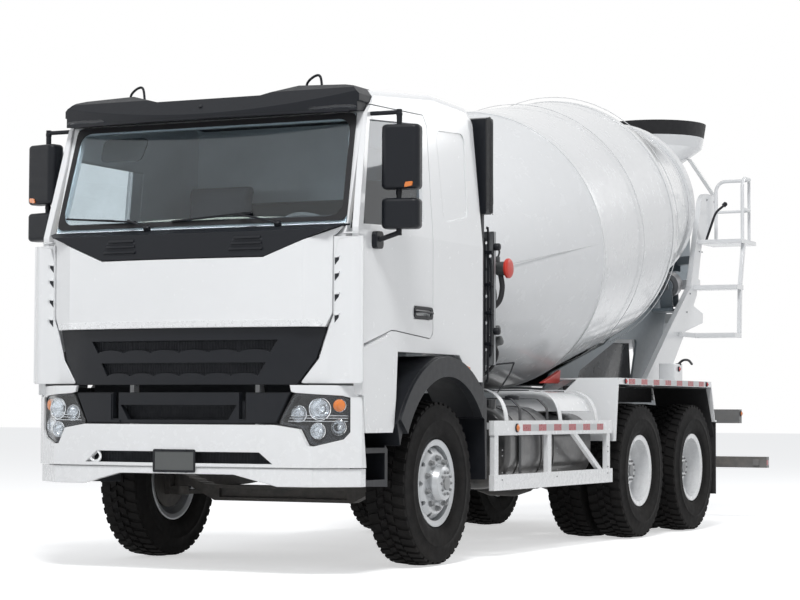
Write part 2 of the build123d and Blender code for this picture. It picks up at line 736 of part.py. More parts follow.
with BuildPart() as front_mudguards:
    for side in (-1, 1):
        # flared arch over the wheel
        with BuildSketch(side_plane(side * guard_inner_x)):
            with BuildLine():
                ThreePointArc(arch_point(arch_outer_r, 152), arch_point(arch_outer_r, 90),
                              arch_point(arch_outer_r, 48))
                Polyline(arch_point(arch_outer_r, 48), (2150, 1120), (2150, 560), (2128, 560),
                         (2112, 980), arch_point(arch_inner_r + 40, 36))
                ThreePointArc(arch_point(arch_inner_r + 40, 36), arch_point(arch_inner_r + 40, 90),
                              arch_point(arch_inner_r + 40, 160))
                Line(arch_point(arch_inner_r + 40, 160), arch_point(arch_outer_r, 152))
            make_face()
        extrude(amount=side * (body_half_width - 20 - guard_inner_x))
        # lip that narrows the opening at the outer edge
        with BuildSketch(side_plane(side * (body_half_width - 60))):
            with BuildLine():
                ThreePointArc(arch_point(arch_outer_r - 6, 150), arch_point(arch_outer_r - 6, 90),
                              arch_point(arch_outer_r - 6, 46))
                Line(arch_point(arch_outer_r - 6, 46), arch_point(arch_inner_r, 38))
                ThreePointArc(arch_point(arch_inner_r, 38), arch_point(arch_inner_r, 90),
                              arch_point(arch_inner_r, 152))
                Line(arch_point(arch_inner_r, 152), arch_point(arch_outer_r - 6, 150))
            make_face()
        extrude(amount=side * 60)
        # step box ahead of the wheel, two treads open to the side
        with BuildSketch(side_plane(side * guard_inner_x)):
            with BuildLine():
                Polyline([(step_front_s, 560), (step_rear_s, 548), (step_rear_s, 790),
                          arch_point(arch_outer_r, 160), arch_point(arch_outer_r, 152),
                          (690, 1180), (step_front_s, 1180)], close=True)
            make_face()
        extrude(amount=side * (1140 - guard_inner_x))
        for low in (596, 800):
            with BuildSketch(side_plane(side * (guard_inner_x + 60))):
                with Locations(((step_front_s + step_rear_s) / 2, low + 85)):
                    Rectangle(step_rear_s - step_front_s - 80, 170)
            extrude(amount=side * 300, mode=Mode.SUBTRACT)
        # stays from the frame
        for station in guard_bracket_s:
            with BuildSketch(side_plane(side * rail_outer_x)):
                with Locations((station, 960)):
                    Rectangle(60, 80)
            extrude(amount=side * (guard_inner_x + 10 - rail_outer_x))
save(front_mudguards, "front_mudguards")

crease = ((235, 1425), (715, 1545))      # lower edge of the doors, rising to the arch
panel_swing_r = 794            # the cab's lower edge swings past the panel on this circle


def tilt_point(radius, angle):
    """Station and height round the cab's tilt pin, angle in degrees up from the rear."""
    return (cab_pivot_s + radius * cos(radians(angle)), cab_pivot_z + radius * sin(radians(angle)))


with BuildPart() as step_panels:
    # white side panels between the bumper and the arch
    for side in (-1, 1):
        with BuildSketch(side_plane(side * 1150)):
            with BuildLine():
                panel_top = tilt_point(panel_swing_r, 61.4)
                panel_low = tilt_point(panel_swing_r, 50.2)
                Polyline([panel_low, (735, 1120), (700, 895), (304, 895), (272, 1126), (240, 1134),
                          (237, crease[0][1] - seam), panel_top])
                ThreePointArc(panel_top, tilt_point(panel_swing_r, 55.8), panel_low)
            make_face()
        extrude(amount=side * 55)
        with BuildSketch(side_plane(side * 1150)):
            with BuildLine():
                ThreePointArc(arch_point(arch_outer_r + seam, 170), arch_point(arch_outer_r + seam, 90),
                              arch_point(arch_outer_r + seam, 10))
                Line(arch_point(arch_outer_r + seam, 10), arch_point(arch_outer_r + seam, 170))
            make_face()
        extrude(amount=side * 60, mode=Mode.SUBTRACT)
        # tabs in to the step box
        with BuildSketch(side_plane(side * (1140 + fit))):
            with Locations((500, 1000)):
                Rectangle(120, 80)
        extrude(amount=side * 15)
save(step_panels, "step_panels")

# ================================================================ cab
screen_foot = (262, 2205)
screen_head = (470, 2930)
cab_nose_s = 140
door_hinge_x = 1182
door_hinge_s = 243
door_hinge_z = (1640, 2080)
lean_top_x = 75                # how far the sides lean in at roof height
mirror_x = 1352
mirror_s = 505
nose_pin_s = 258               # hinge of the opening nose, at the top of the cowl
nose_pin_z = 2198
roof_round = 70
apron_low_z = 1228


def cab_outline(inset):
    """Side outline of the cab body, drawn in from its skin by inset."""
    i = inset
    with BuildLine() as outline:
        Polyline([(cab_nose_s - 10 + i, cab_floor_z + i), (cab_nose_s + i, 1960),
                  (screen_foot[0] + i, screen_foot[1]), (screen_head[0] + i, screen_head[1]),
                  (600 + i, cab_roof_z - 60 - i), (1500, cab_roof_z + 25 - i),
                  (cab_rear_s - 130 - i, cab_roof_z + 10 - i),
                  (cab_rear_s - 60 - i, cab_roof_z - 40 - i), (cab_rear_s - i, cab_belt_z),
                  (cab_rear_s - i, cab_floor_z + i)], close=True)
    make_face(outline.edges())


window_points = [(312, 2205), (486, 2885), (1225, 2940), (1205, 2290), (1130, 2240)]
sill_slope = (crease[1][1] - crease[0][1]) / (crease[1][0] - crease[0][0])
door_points = [crease[0], (door_front_s, 2180), (446, 2925), (510, 2985), (1290, 3010),
               (door_rear_s, 2940), (door_rear_s, 1550), (1300, 1510), (780, 1545), crease[1]]


def lean_cut(side, margin):
    """Trim the upper side of the cab to its inward lean, in the builder that calls this."""
    with BuildSketch(cross_plane(-20)) as wedge:
        with BuildLine():
            Polyline([(side * (cab_half_width - margin), cab_belt_z),
                      (side * (cab_half_width + 80), cab_belt_z), (side * (cab_half_width + 80), 3300),
                      (side * (cab_half_width - margin - lean_top_x), 3300)], close=True)
        make_face()
    extrude(wedge.sketch, amount=-2300, mode=Mode.SUBTRACT)


def keep_lean(side, outer_x, thick):
    """Keep one thickness of a sheet that follows the lean of the cab side."""
    with BuildSketch(cross_plane(-20)) as strip:
        with BuildLine():
            Polyline([(side * outer_x, 1900), (side * outer_x, cab_belt_z),
                      (side * (outer_x - lean_top_x), 3300),
                      (side * (outer_x - thick - lean_top_x), 3300),
                      (side * (outer_x - thick), cab_belt_z), (side * (outer_x - thick), 1900)],
                     close=True)
        make_face()
    extrude(strip.sketch, amount=-2300, mode=Mode.INTERSECT)


# front corner posts of the cab, closing its lower corners ahead of the doors
with BuildPart() as corner_posts:
    for side in (-1, 1):
        with BuildSketch(Plane.XY.offset(cab_floor_z)):
            with BuildLine():
                Polyline([(side * 600, at(137.5)), (side * 850, at(184.5)), (side * 1040, at(226.5)),
                          (side * 1094, at(235.5)), (side * 1094, at(330)), (side * 1060, at(330)),
                          (side * 1048, at(270)), (side * 850, at(222))], close=True)
            make_face()
        extrude(amount=2180 - cab_floor_z)
    with BuildSketch(side_plane(-cab_half_width)):
        cab_outline(0)
    extrude(amount=2 * cab_half_width, mode=Mode.INTERSECT)

# blanked sleeper windows, pressed a little into the sides
sleeper_points = [(1536, 2306), (1485, 2927), (1955, 2953), (1935, 2372)]
sleeper_recesses = []
for side in (-1, 1):
    with BuildPart() as recess:
        with BuildSketch(side_plane(side * (cab_half_width - 200))):
            with BuildLine():
                FilletPolyline(*sleeper_points, close=True, radius=60)
            make_face()
        extrude(amount=side * 250)
        keep_lean(side, cab_half_width + 8, 15)
    sleeper_recesses.append(recess.part)

with BuildPart() as cab_block:
    with BuildSketch(side_plane(-cab_half_width)):
        cab_outline(0)
    extrude(amount=2 * cab_half_width)
    lean_cut(1, 0)
    lean_cut(-1, 0)
    # rounded roof edges and rear corners
    fillet([edge for edge in cab_block.edges() if abs(edge.center().X) > 1000
            and edge.center().Z > cab_roof_z - 80 and abs(edge.tangent_at(0.5).Y) > 0.7], roof_round)

# inner faces of the leaning sides, made as thick as the lower wall
linings = []
for side in (-1, 1):
    with BuildPart() as lining:
        with BuildSketch(cross_plane(cab_nose_s)):
            with BuildLine():
                Polyline([(side * (cab_half_width - cab_wall - 0.5), cab_belt_z),
                          (side * (cab_half_width - cab_wall + 2), cab_roof_z + 30),
                          (side * (cab_half_width - cab_wall - lean_top_x), cab_roof_z + 30)],
                         close=True)
            make_face()
        extrude(amount=-(cab_rear_s - cab_nose_s))
        add(cab_block.part, mode=Mode.INTERSECT)
    linings.append(lining.part)

with BuildPart() as cab_shell:
    add(cab_block.part)
    with BuildSketch(side_plane(-cab_half_width + cab_wall)):
        cab_outline(cab_wall)
    extrude(amount=2 * (cab_half_width - cab_wall), mode=Mode.SUBTRACT)
    for lining in linings:
        add(lining)
    # tunnel over the engine
    with BuildSketch(cross_plane(cab_nose_s + 20)):
        with Locations((0, (cab_floor_z + tunnel_top_z) / 2)):
            Rectangle(2 * tunnel_half + 60, tunnel_top_z - cab_floor_z + 30)
    extrude(amount=-(cab_rear_s - cab_nose_s - 40))
    with BuildSketch(cross_plane(cab_nose_s + cab_wall)):
        with Locations((0, (cab_floor_z + tunnel_top_z) / 2 - 60)):
            Rectangle(2 * tunnel_half, tunnel_top_z - cab_floor_z + 90)
    extrude(amount=-(cab_rear_s - cab_nose_s - 2 * cab_wall), mode=Mode.SUBTRACT)
    # firewall apron and rear side skirts hang below the floor
    with BuildSketch(side_plane(-1030)):
        with Locations((cab_nose_s + 12, (cab_floor_z + apron_low_z) / 2 + 20)):
            Rectangle(45, cab_floor_z - apron_low_z + 40)
    extrude(amount=2060)
    for side in (-1, 1):
        with BuildSketch(side_plane(side * (cab_half_width - cab_wall))):
            with BuildLine():
                skirt = arch_point(arch_outer_r + seam, 62)
                Polyline([(skirt[0] - 120, cab_floor_z + 20), (skirt[0] + 70, 1260),
                          (skirt[0] + 120, 1236), (cab_rear_s, 1236), (cab_rear_s, cab_floor_z + 20)],
                         close=True)
            make_face()
            with Locations((front_axle_s, hub_height)):
                Circle(arch_outer_r + 2 * seam, mode=Mode.SUBTRACT)
        extrude(amount=side * cab_wall)
        # arms forward and down to the tilt pins
        with BuildSketch(side_plane(side * tilt_arm_x)):
            with BuildLine():
                Polyline([(cab_pivot_s - 15, cab_pivot_z), (cab_pivot_s - 15, cab_floor_z + 10),
                          (cab_pivot_s + 130, cab_floor_z + 10), (cab_pivot_s + 34, cab_pivot_z)],
                         close=True)
            make_face()
            with Locations((cab_pivot_s, cab_pivot_z)):
                Circle(pivot_boss_radius)
                Circle(pivot_pin_radius + fit, mode=Mode.SUBTRACT)
        extrude(amount=side * 30)
    # windscreen opening
    with BuildSketch(cross_plane(-20)):
        with BuildLine():
            Polyline([(-1050, 2250), (1050, 2250), (1010, 2880), (-1010, 2880)], close=True)
        make_face()
    extrude(amount=-640, mode=Mode.SUBTRACT)
    edge_r = panel_swing_r + 8
    low_corner = [(100, 1200), (100, crease[0][1] + 10), crease[0], tilt_point(edge_r, 61.2),
                  tilt_point(edge_r, 58.5), tilt_point(edge_r, 55.8), tilt_point(edge_r, 53),
                  tilt_point(edge_r, 50), tilt_point(edge_r, 46), (800, 1200)]
    side_cut(low_corner, 1141, cab_half_width + 10)
    side_cut(low_corner, -cab_half_width - 10, -1141)
    side_cut(door_points, cab_half_width - cab_wall - 40, cab_half_width + 10)
    side_cut(door_points, -cab_half_width - 10, -cab_half_width + cab_wall + 40)
    # front corners are chamfered behind the fairings
    for side in (-1, 1):
        with BuildSketch(Plane.XY.offset(cab_floor_z - 300)):
            with BuildLine():
                Polyline([(side * 600, at(100)), (side * 600, at(137)), (side * 850, at(184)),
                          (side * 1040, at(226)),
                          (side * 1140, at(243)), (side * 1300, at(243)),
                          (side * 1300, at(100))], close=True)
            make_face()
        extrude(amount=2140 - cab_floor_z + 300, mode=Mode.SUBTRACT)
    add(corner_posts.part)
    for recess in sleeper_recesses:
        add(recess, mode=Mode.SUBTRACT)
    # holes for the hinge pins of the opening nose
    for side in (-1, 1):
        with BuildSketch(side_plane(side * 1066)):
            with Locations((nose_pin_s, nose_pin_z)):
                Circle(6 + fit)
        extrude(amount=side * 46, mode=Mode.SUBTRACT)
    # leaves and knuckles of the door hinges
    for side in (-1, 1):
        for height in door_hinge_z:
            with BuildSketch(Plane.XY.offset(height - 18)):
                with Locations((side * (1070 + door_hinge_x) / 2, at(door_front_s + 2.5))):
                    Rectangle(door_hinge_x - 1070, 4)
                with Locations((side * door_hinge_x, at(door_hinge_s))):
                    Circle(10)
                    Circle(5 + fit, mode=Mode.SUBTRACT)
            extrude(amount=36)
save(cab_shell, "cab_shell")

for side, tag in ((1, "left"), (-1, "right")):
    with BuildPart() as door:
        with BuildSketch(side_plane(side * cab_half_width)):
            with BuildLine():
                Polyline(door_points, close=True)
            make_face()
            offset(amount=-seam, kind=Kind.INTERSECTION)
        extrude(amount=-side * (cab_wall + 33))
        # hollow on the inside of the leaning skin
        lean_cut(side, 0)
        with BuildSketch(cross_plane(-20)):
            with BuildLine():
                Polyline([(side * (cab_half_width - cab_wall), cab_belt_z - 900),
                          (side * (cab_half_width - cab_wall), cab_belt_z),
                          (side * (cab_half_width - cab_wall - lean_top_x), 3300),
                          (side * (cab_half_width - 300), 3300),
                          (side * (cab_half_width - 300), cab_belt_z - 900)], close=True)
            make_face()
        extrude(amount=-2300, mode=Mode.SUBTRACT)
        side_cut(window_points, side * (cab_half_width - 150), side * (cab_half_width + 20))
        # handle bar across its recess
        handle_cut = [(1050, 1636), (1050, 1722), (1290, 1722), (1290, 1636)]
        side_cut(handle_cut, side * (cab_half_width - 26), side * (cab_half_width + 20))
        with BuildSketch(side_plane(side * (cab_half_width - 14))):
            with Locations((1170, 1690)):
                Rectangle(240, 26)
        extrude(amount=side * 14)
        # heel room: the inner layer swings back over the rising sill as the door opens
        side_cut([(door_front_s - 5, crease[0][1] - 20),
                  (door_front_s - 5, crease[0][1] + sill_slope * (cab_wall + 33) + seam),
                  (door_front_s + 170, crease[0][1] + sill_slope * 170 + seam + 1),
                  (door_front_s + 170, crease[0][1] - 20)],
                 side * (cab_half_width - cab_wall - 40), side * (cab_half_width - 8))
        # notches for the hinge knuckles, crossed by the pins
        for height in door_hinge_z:
            with BuildSketch(Plane.XY.offset(height - 24)):
                with Locations((side * door_hinge_x, at(door_hinge_s))):
                    Circle(16)
            extrude(amount=48, mode=Mode.SUBTRACT)
            with BuildSketch(Plane.XY.offset(height - 45)):
                with Locations((side * door_hinge_x, at(door_hinge_s))):
                    Circle(5)
            extrude(amount=90)
    save(door, f"door_{tag}")
    with BuildPart() as glass:
        glass_inner = cab_half_width - cab_wall / 2
        with BuildSketch(side_plane(side * (cab_half_width + 20))):
            with BuildLine():
                Polyline(window_points, close=True)
            make_face()
            offset(amount=-fit, kind=Kind.INTERSECTION)
        extrude(amount=-side * 200)
        keep_lean(side, glass_inner, 6)
    save(glass, f"door_glass_{tag}")
    with BuildPart() as mirror:
        for low, high in ((2180, 2372), (2430, 2840)):
            with BuildSketch(Plane.XY.offset(low)):
                with Locations((side * mirror_x, at(mirror_s))):
                    RectangleRounded(250, 130, 45, rotation=side * 12)
            extrude(amount=high - low)
        fillet([edge for edge in mirror.edges() if abs(edge.tangent_at(0.5).Z) < 0.01], 26)
        # foot on the door, arms into both ends of the post
        with BuildSketch(side_plane(side * (cab_half_width + fit))):
            with Locations((473, 2112)):
                RectangleRounded(100, 110, 30)
        extrude(amount=side * 36)
        with BuildSketch(Plane(origin=(side * (cab_half_width + 26), at(473), 2112),
                               x_dir=(0, 0, 1), z_dir=(side * 130, mirror_s - 473, 46))):
            Circle(16)
        extrude(amount=150)
        with BuildSketch(Plane.XY.offset(2140)):
            with Locations((side * (mirror_x - 20), at(mirror_s))):
                Circle(18)
        extrude(amount=800)
        with BuildSketch(side_plane(side * (mirror_x - 20))):
            with Locations((mirror_s, 2922)):
                Circle(14)
        extrude(amount=-side * (mirror_x - 20 - 1131.8))
    save(mirror, f"mirror_{tag}")

glass_gap = 0.5
glass_thick = 9
with BuildPart() as windscreen:
    slope = (screen_head[0] - screen_foot[0]) / (screen_head[1] - screen_foot[1])
    low_z, high_z = screen_foot[1] + 8, screen_head[1] - 5
    low_s = screen_foot[0] + slope * (low_z - screen_foot[1]) - glass_gap
    high_s = screen_foot[0] + slope * (high_z - screen_foot[1]) - glass_gap
    with BuildSketch(side_plane(-1090)):
        with BuildLine():
            Polyline([(low_s - glass_thick, low_z), (low_s, low_z), (high_s, high_z),
                      (high_s - glass_thick, high_z)], close=True)
        make_face()
    extrude(amount=2180)
    with BuildSketch(cross_plane(0)):
        with BuildLine():
            Polyline([(-1085, low_z - 1), (1085, low_z - 1), (1050, high_z + 1), (-1050, high_z + 1)],
                     close=True)
        make_face()
    extrude(amount=-700, mode=Mode.INTERSECT)
save(windscreen, "windscreen")

with BuildPart() as visor:
    with BuildSketch(side_plane(-1110)):
        with BuildLine():
            Polyline([(300, 2925), (300, 2960), (395, 3085), (470, 3128), (605, 3128),
                      (640, 3094.2), (599.6, 3090.4), (476.1, 2938.3), (455, 2937)], close=True)
        make_face()
    extrude(amount=2220)
    # bowed in plan
    with BuildSketch(Plane.XY.offset(2880)):
        with BuildLine():
            ThreePointArc((-1115, at(378)), (0, at(300)), (1115, at(378)))
            Polyline([(1115, at(378)), (1115, at(700)), (-1115, at(700)), (-1115, at(378))])
        make_face()
    extrude(amount=300, mode=Mode.INTERSECT)
    # low middle between two raised shoulders
    keep_front([(-1098, 2900), (1098, 2900), (1098, 2990), (1110, 2996), (1110, 3040), (1050, 3098),
                (979, 3111), (627, 3128), (390, 3067), (-390, 3067), (-627, 3128), (-979, 3111),
                (-1050, 3098), (-1110, 3040), (-1110, 2996), (-1098, 2990)], 800)
save(visor, "visor")

cowl_edge = ((600, 2000), (1087, 2190))  # lower edge of the cowl, outboard of the middle
with BuildPart() as cowl:
    foot_slope = (screen_foot[0] - cab_nose_s) / (screen_foot[1] - 1960)
    with BuildSketch(side_plane(-1085)):
        with BuildLine():
            back_top = (cab_nose_s + foot_slope * 238 - glass_gap, 2198)
            back_low = (cab_nose_s + foot_slope * 42 - glass_gap, 2002)
            Polyline([(76, 2002), (118, 2165), (228, 2204), back_top, back_low], close=True)
        make_face()
    extrude(amount=2170)
    for side in (-1, 1):
        with BuildSketch(cross_plane(0)):
            with BuildLine():
                Polyline([(side * cowl_edge[0][0], cowl_edge[0][1]),
                          (side * cowl_edge[1][0], cowl_edge[1][1]), (side * cowl_edge[1][0], 1900),
                          (side * cowl_edge[0][0], 1900)], close=True)
            make_face()
        extrude(amount=-400, mode=Mode.SUBTRACT)
    for side in (-1, 1):
        with BuildSketch(side_plane(side * 1068)):
            with Locations((nose_pin_s, nose_pin_z)):
                Circle(6)
        extrude(amount=side * 42)
save(cowl, "cowl")

with BuildPart() as corner_fairings:
    for side in (-1, 1):
        with BuildSketch(Plane.XY.offset(1210)):
            with BuildLine():
                Polyline([(side * 1040, at(176)), (side * 1110, at(196)), (side * 1228, at(214)),
                          (side * 1226, at(227)), (side * 1150, at(234)), (side * 1040, at(204))],
                         close=True)
            make_face()
            # lugs back to the cab corner
            with BuildLine():
                Polyline([(side * 1044, at(200)), (side * 1044, at(226.4)), (side * 1068, at(230.4)),
                          (side * 1068, at(210))], close=True)
            make_face()
        extrude(amount=2120 - 1210)
save(corner_fairings, "corner_fairings")

with BuildPart() as dashboard:
    with BuildSketch(side_plane(-1040)):
        with BuildLine():
            Polyline([(310, 1700), (310, 2150), (430, 2230), (600, 2215), (720, 2080),
                      (690, 1760), (540, 1650)], close=True)
        make_face()
    extrude(amount=2080)
    # brackets forward to the firewall
    for x in (-700, 700):
        with BuildSketch(side_plane(x - 30)):
            with Locations(((312 + cab_nose_s + cab_wall - 2) / 2, 1800)):
                Rectangle(312 - cab_nose_s - cab_wall + 2, 60)
        extrude(amount=60)
    wheel_axis = Plane(origin=(560, at(800), 2160), x_dir=(1, 0, 0), z_dir=(0, 0.75, 1))
    with BuildSketch(wheel_axis):
        Circle(35)
    extrude(amount=-330)
    with BuildSketch(wheel_axis):
        Circle(235)
        Circle(205, mode=Mode.SUBTRACT)
        Rectangle(420, 40)
    extrude(amount=28)
save(dashboard, "dashboard")

seat_base_height = 330
seat_floor_z = cab_floor_z + cab_wall
with BuildPart() as seat_bases:
    for x in (-620, 620):
        with BuildSketch(Plane.XY.offset(seat_floor_z)):
            with Locations((x, at(1330))):
                RectangleRounded(360, 420, 60)
        extrude(amount=seat_base_height)
save(seat_bases, "seat_bases")

with BuildPart() as seat_cushions:
    for x in (-620, 620):
        with BuildSketch(side_plane(x - 255)):
            with BuildLine():
                base_z = seat_floor_z + seat_base_height + fit
                Polyline([(1060, base_z), (1060, base_z + 120), (1480, base_z + 110),
                          (1590, base_z + 860), (1700, base_z + 860), (1620, base_z)], close=True)
            make_face()
        extrude(amount=510)
save(seat_cushions, "seat_cushions")

# ================================================================ opening front panel with its grille
panel_low_z = 1556
grille_low_z = 1195
panel_front_s = 30
panel_thick = 25
with BuildPart() as front_panel:
    bowed_sheet(panel_low_z, 2200, panel_front_s, 1087, 205, panel_thick)
    keep_front([(-cowl_edge[0][0], cowl_edge[0][1] - seam), (cowl_edge[0][0], cowl_edge[0][1] - seam),
                (cowl_edge[1][0] - 2, cowl_edge[1][1] - seam), (1034, 2126), (1030, 1640),
                (992, panel_low_z), (-992, panel_low_z), (-1030, 1640), (-1034, 2126),
                (-cowl_edge[1][0] + 2, cowl_edge[1][1] - seam)])
    # ribs that rest against the cab
    for x in (-500, 500):
        with BuildSketch(side_plane(x - 15)):
            with Locations(((panel_front_s + 40 + cab_nose_s) / 2, 1750)):
                Rectangle(cab_nose_s - panel_front_s - 49, 60)
        extrude(amount=30)
save(front_panel, "front_panel")

with BuildPart() as grille:
    bowed_sheet(grille_low_z, panel_low_z - fit, 46, 1000, 190, 22)
    keep_front([(-990, panel_low_z), (990, panel_low_z), (930, 1360), (815, grille_low_z),
                (-815, grille_low_z), (-930, 1360)])
    for half_top, half_low, low, high in ((690, 640, 1400, 1476), (610, 560, 1250, 1334)):
        cut_through_front([(-half_top, high), (half_top, high), (half_low, low), (-half_low, low)])
save(grille, "grille")

# ================================================================ mixer superstructure
drum_frame = Plane(origin=(0, at(drum_axis_s), drum_axis_z), x_dir=(1, 0, 0),
                   z_dir=(0, cos(radians(drum_tilt)), sin(radians(drum_tilt))))
drum_axis = Axis((0, at(drum_axis_s), drum_axis_z),
                 (0, cos(radians(drum_tilt)), sin(radians(drum_tilt))))
drum_side = Plane(origin=(0, at(drum_axis_s), drum_axis_z),
                  x_dir=(0, cos(radians(drum_tilt)), sin(radians(drum_tilt))), z_dir=(1, 0, 0))


def axis_station(along):
    """Station and height of a point on the drum axis."""
    return (drum_axis_s + along * cos(radians(drum_tilt)),
            drum_axis_z + along * sin(radians(drum_tilt)))


drum_band = (34, 5)            # half length and height of the raised seams
drum_outer = [(drum_head_a, 0), (drum_head_a, 260), (drum_head_a + 70, drum_head_radius),
              (drum_cone_a - drum_band[0], drum_radius - drum_band[0] * 0.2),
              (drum_cone_a - drum_band[0], drum_radius + drum_band[1]),
              (drum_cone_a + drum_band[0], drum_radius + drum_band[1]),
              (drum_cone_a + drum_band[0], drum_radius - 1),
              (drum_cylinder_a - drum_band[0], drum_radius - 39),
              (drum_cylinder_a - drum_band[0], drum_radius - 38 + drum_band[1]),
              (drum_cylinder_a + drum_band[0], drum_radius - 41 + drum_band[1]),
              (drum_cylinder_a + drum_band[0], drum_radius - 50),
              (drum_ring_a - drum_ring_width / 2, drum_neck_radius + 20),
              (drum_ring_a - drum_ring_width / 2, drum_ring_radius),
              (drum_ring_a + drum_ring_width / 2, drum_ring_radius),
              (drum_ring_a + drum_ring_width / 2, drum_neck_radius - 20),
              (drum_mouth_a, drum_mouth_radius)]
drum_inner = [(drum_mouth_a, drum_mouth_radius - drum_wall),
              (drum_ring_a, drum_neck_radius - 30),
              (drum_cylinder_a, drum_radius - 40 - drum_wall),
              (drum_cone_a, drum_radius - drum_wall),
              (drum_head_a + 90, drum_head_radius - drum_wall), (drum_head_a + 30, 250),
              (drum_head_a + 30, 0)]
with BuildPart() as drum:
    with BuildSketch(drum_side):
        with BuildLine():
            Polyline(drum_outer + drum_inner, close=True)
        make_face()
    revolve(axis=drum_axis)
save(drum, "drum")

subframe_height = 130
subframe_top_z = rail_top_z + subframe_height
with BuildPart() as drum_pedestal:
    # stand with a gearbox whose flange drives the drum head
    head_s, head_z = axis_station(drum_head_a)
    with BuildSketch(drum_frame.offset(drum_head_a - fit)):
        Circle(230)
    extrude(amount=-60)
    with BuildSketch(drum_frame.offset(drum_head_a - 60)):
        Circle(190)
    extrude(amount=-200)
    for side in (-1, 1):
        with BuildSketch(side_plane(side * 330)):
            with BuildLine():
                Polyline([(head_s - 240, subframe_top_z), (head_s - 200, head_z - 120),
                          (head_s - 90, head_z - 60), (head_s - 30, head_z - 300),
                          (head_s + 60, subframe_top_z)], close=True)
            make_face()
        extrude(amount=side * 16)
    with BuildSketch(cross_plane(head_s - 240)):
        with Locations((0, (subframe_top_z + head_z - 130) / 2)):
            Rectangle(692, head_z - 130 - subframe_top_z)
    extrude(amount=-20)
    with BuildSketch(cross_plane(head_s - 225)):
        with Locations((0, head_z - 190)):
            Rectangle(662, 120)
    extrude(amount=-160)
save(drum_pedestal, "drum_pedestal")

with BuildPart() as mixer_subframe:
    for side in (-1, 1):
        with BuildSketch(cross_plane(2400)):
            with Locations((side * (rail_outer_x - 45), rail_top_z + subframe_height / 2)):
                Rectangle(90, subframe_height)
        extrude(amount=-(rail_rear_s - 2400))
    for station in (2440, 3400, 4400, 5400, 6400, 7400, 8150):
        with BuildSketch(cross_plane(station)):
            with Locations((0, rail_top_z + subframe_height / 2)):
                Rectangle(2 * (rail_outer_x - 90), 90)
        extrude(amount=-80)
save(mixer_subframe, "mixer_subframe")

ring_s, ring_z = axis_station(drum_ring_a)
roller_reach = drum_ring_radius + fit + roller_radius
roller_x = roller_reach * sin(radians(roller_angle))
roller_drop = roller_reach * cos(radians(roller_angle))
roller_shaft_radius = 38


def roller_plane(side, along):
    """Plane square to a support roller's axis, centred on it; local y points down."""
    place = drum_frame.offset(drum_ring_a + along)
    centre = place.from_local_coords(Vector(side * roller_x, 0, 0))
    low = Vector(0, sin(radians(drum_tilt)), -cos(radians(drum_tilt)))
    return Plane(origin=centre + low * roller_drop, x_dir=(1, 0, 0), z_dir=drum_frame.z_dir)


for side, tag in ((1, "left"), (-1, "right")):
    with BuildPart() as roller:
        with BuildSketch(roller_plane(side, -60)):
            Circle(roller_radius)
        extrude(amount=120)
        with BuildSketch(roller_plane(side, -105)):
            Circle(roller_shaft_radius)
        extrude(amount=210)
    save(roller, f"support_roller_{tag}")


def drum_radius_at(along):
    """Outer radius of the drum's shell at a distance along its axis."""
    profile = [(drum_head_a + 70, drum_head_radius), (drum_cone_a, drum_radius),
               (drum_cylinder_a, drum_radius - 40), (drum_ring_a, drum_neck_radius)]
    for (a_low, r_low), (a_high, r_high) in zip(profile, profile[1:]):
        if along <= a_high:
            break
    return r_low + (r_high - r_low) * (along - a_low) / (a_high - a_low)


def under_drum(x, station, gap):
    """Station and height of a point a gap below the drum, x out from the middle."""
    tilt = radians(drum_tilt)
    height = drum_axis_z - drum_radius
    for _ in range(12):
        along = (station - drum_axis_s) * cos(tilt) + (height - drum_axis_z) * sin(tilt)
        reach = sqrt((drum_radius_at(along) + gap) ** 2 - x ** 2)
        height = drum_axis_z + ((station - drum_axis_s) * sin(tilt) - reach) / cos(tilt)
    return (station, height)


table_half = 600
stand_x = 400
stand_foot_s = (5130, 7700)
stand_gap = 36                 # between the stand's upper edge and the drum
with BuildPart() as drum_stand:
    # side plates lean forward from the frame to the roller table
    table_s, table_z = ring_s + 120, ring_z - roller_drop - 250
    for side in (-1, 1):
        with BuildSketch(side_plane(side * stand_x)):
            with BuildLine():
                belly = [under_drum(stand_x + 20, station, stand_gap)
                         for station in (5330, 5700, 6100, 6400, 6600, 7000, 7400, 7600)]
                Polyline([(stand_foot_s[0], subframe_top_z), *belly, (table_s - 190, table_z),
                          (table_s + 170, table_z), (table_s - 10, 1600),
                          (stand_foot_s[1], subframe_top_z)], close=True)
            make_face()
            with BuildLine():
                FilletPolyline((5900, subframe_top_z + 70), (6000, 1390), (6950, 1690), (7475, 1704),
                               (7290, subframe_top_z + 70), close=True, radius=40)
            make_face(mode=Mode.SUBTRACT)
        extrude(amount=side * 20)
    with BuildSketch(Plane.XY.offset(table_z)):
        with Locations((0, at(table_s - 20))):
            Rectangle(2 * table_half, 380)
    extrude(amount=30)
    # bearing cheeks either side of each roller
    for side in (-1, 1):
        for along in (-100, 74):
            with BuildSketch(roller_plane(side, along)):
                Circle(roller_shaft_radius + fit + 34)
                with Locations((0, 110)):
                    Rectangle(120, 230)
                Circle(roller_shaft_radius + fit, mode=Mode.SUBTRACT)
            extrude(amount=26)
save(drum_stand, "drum_stand")

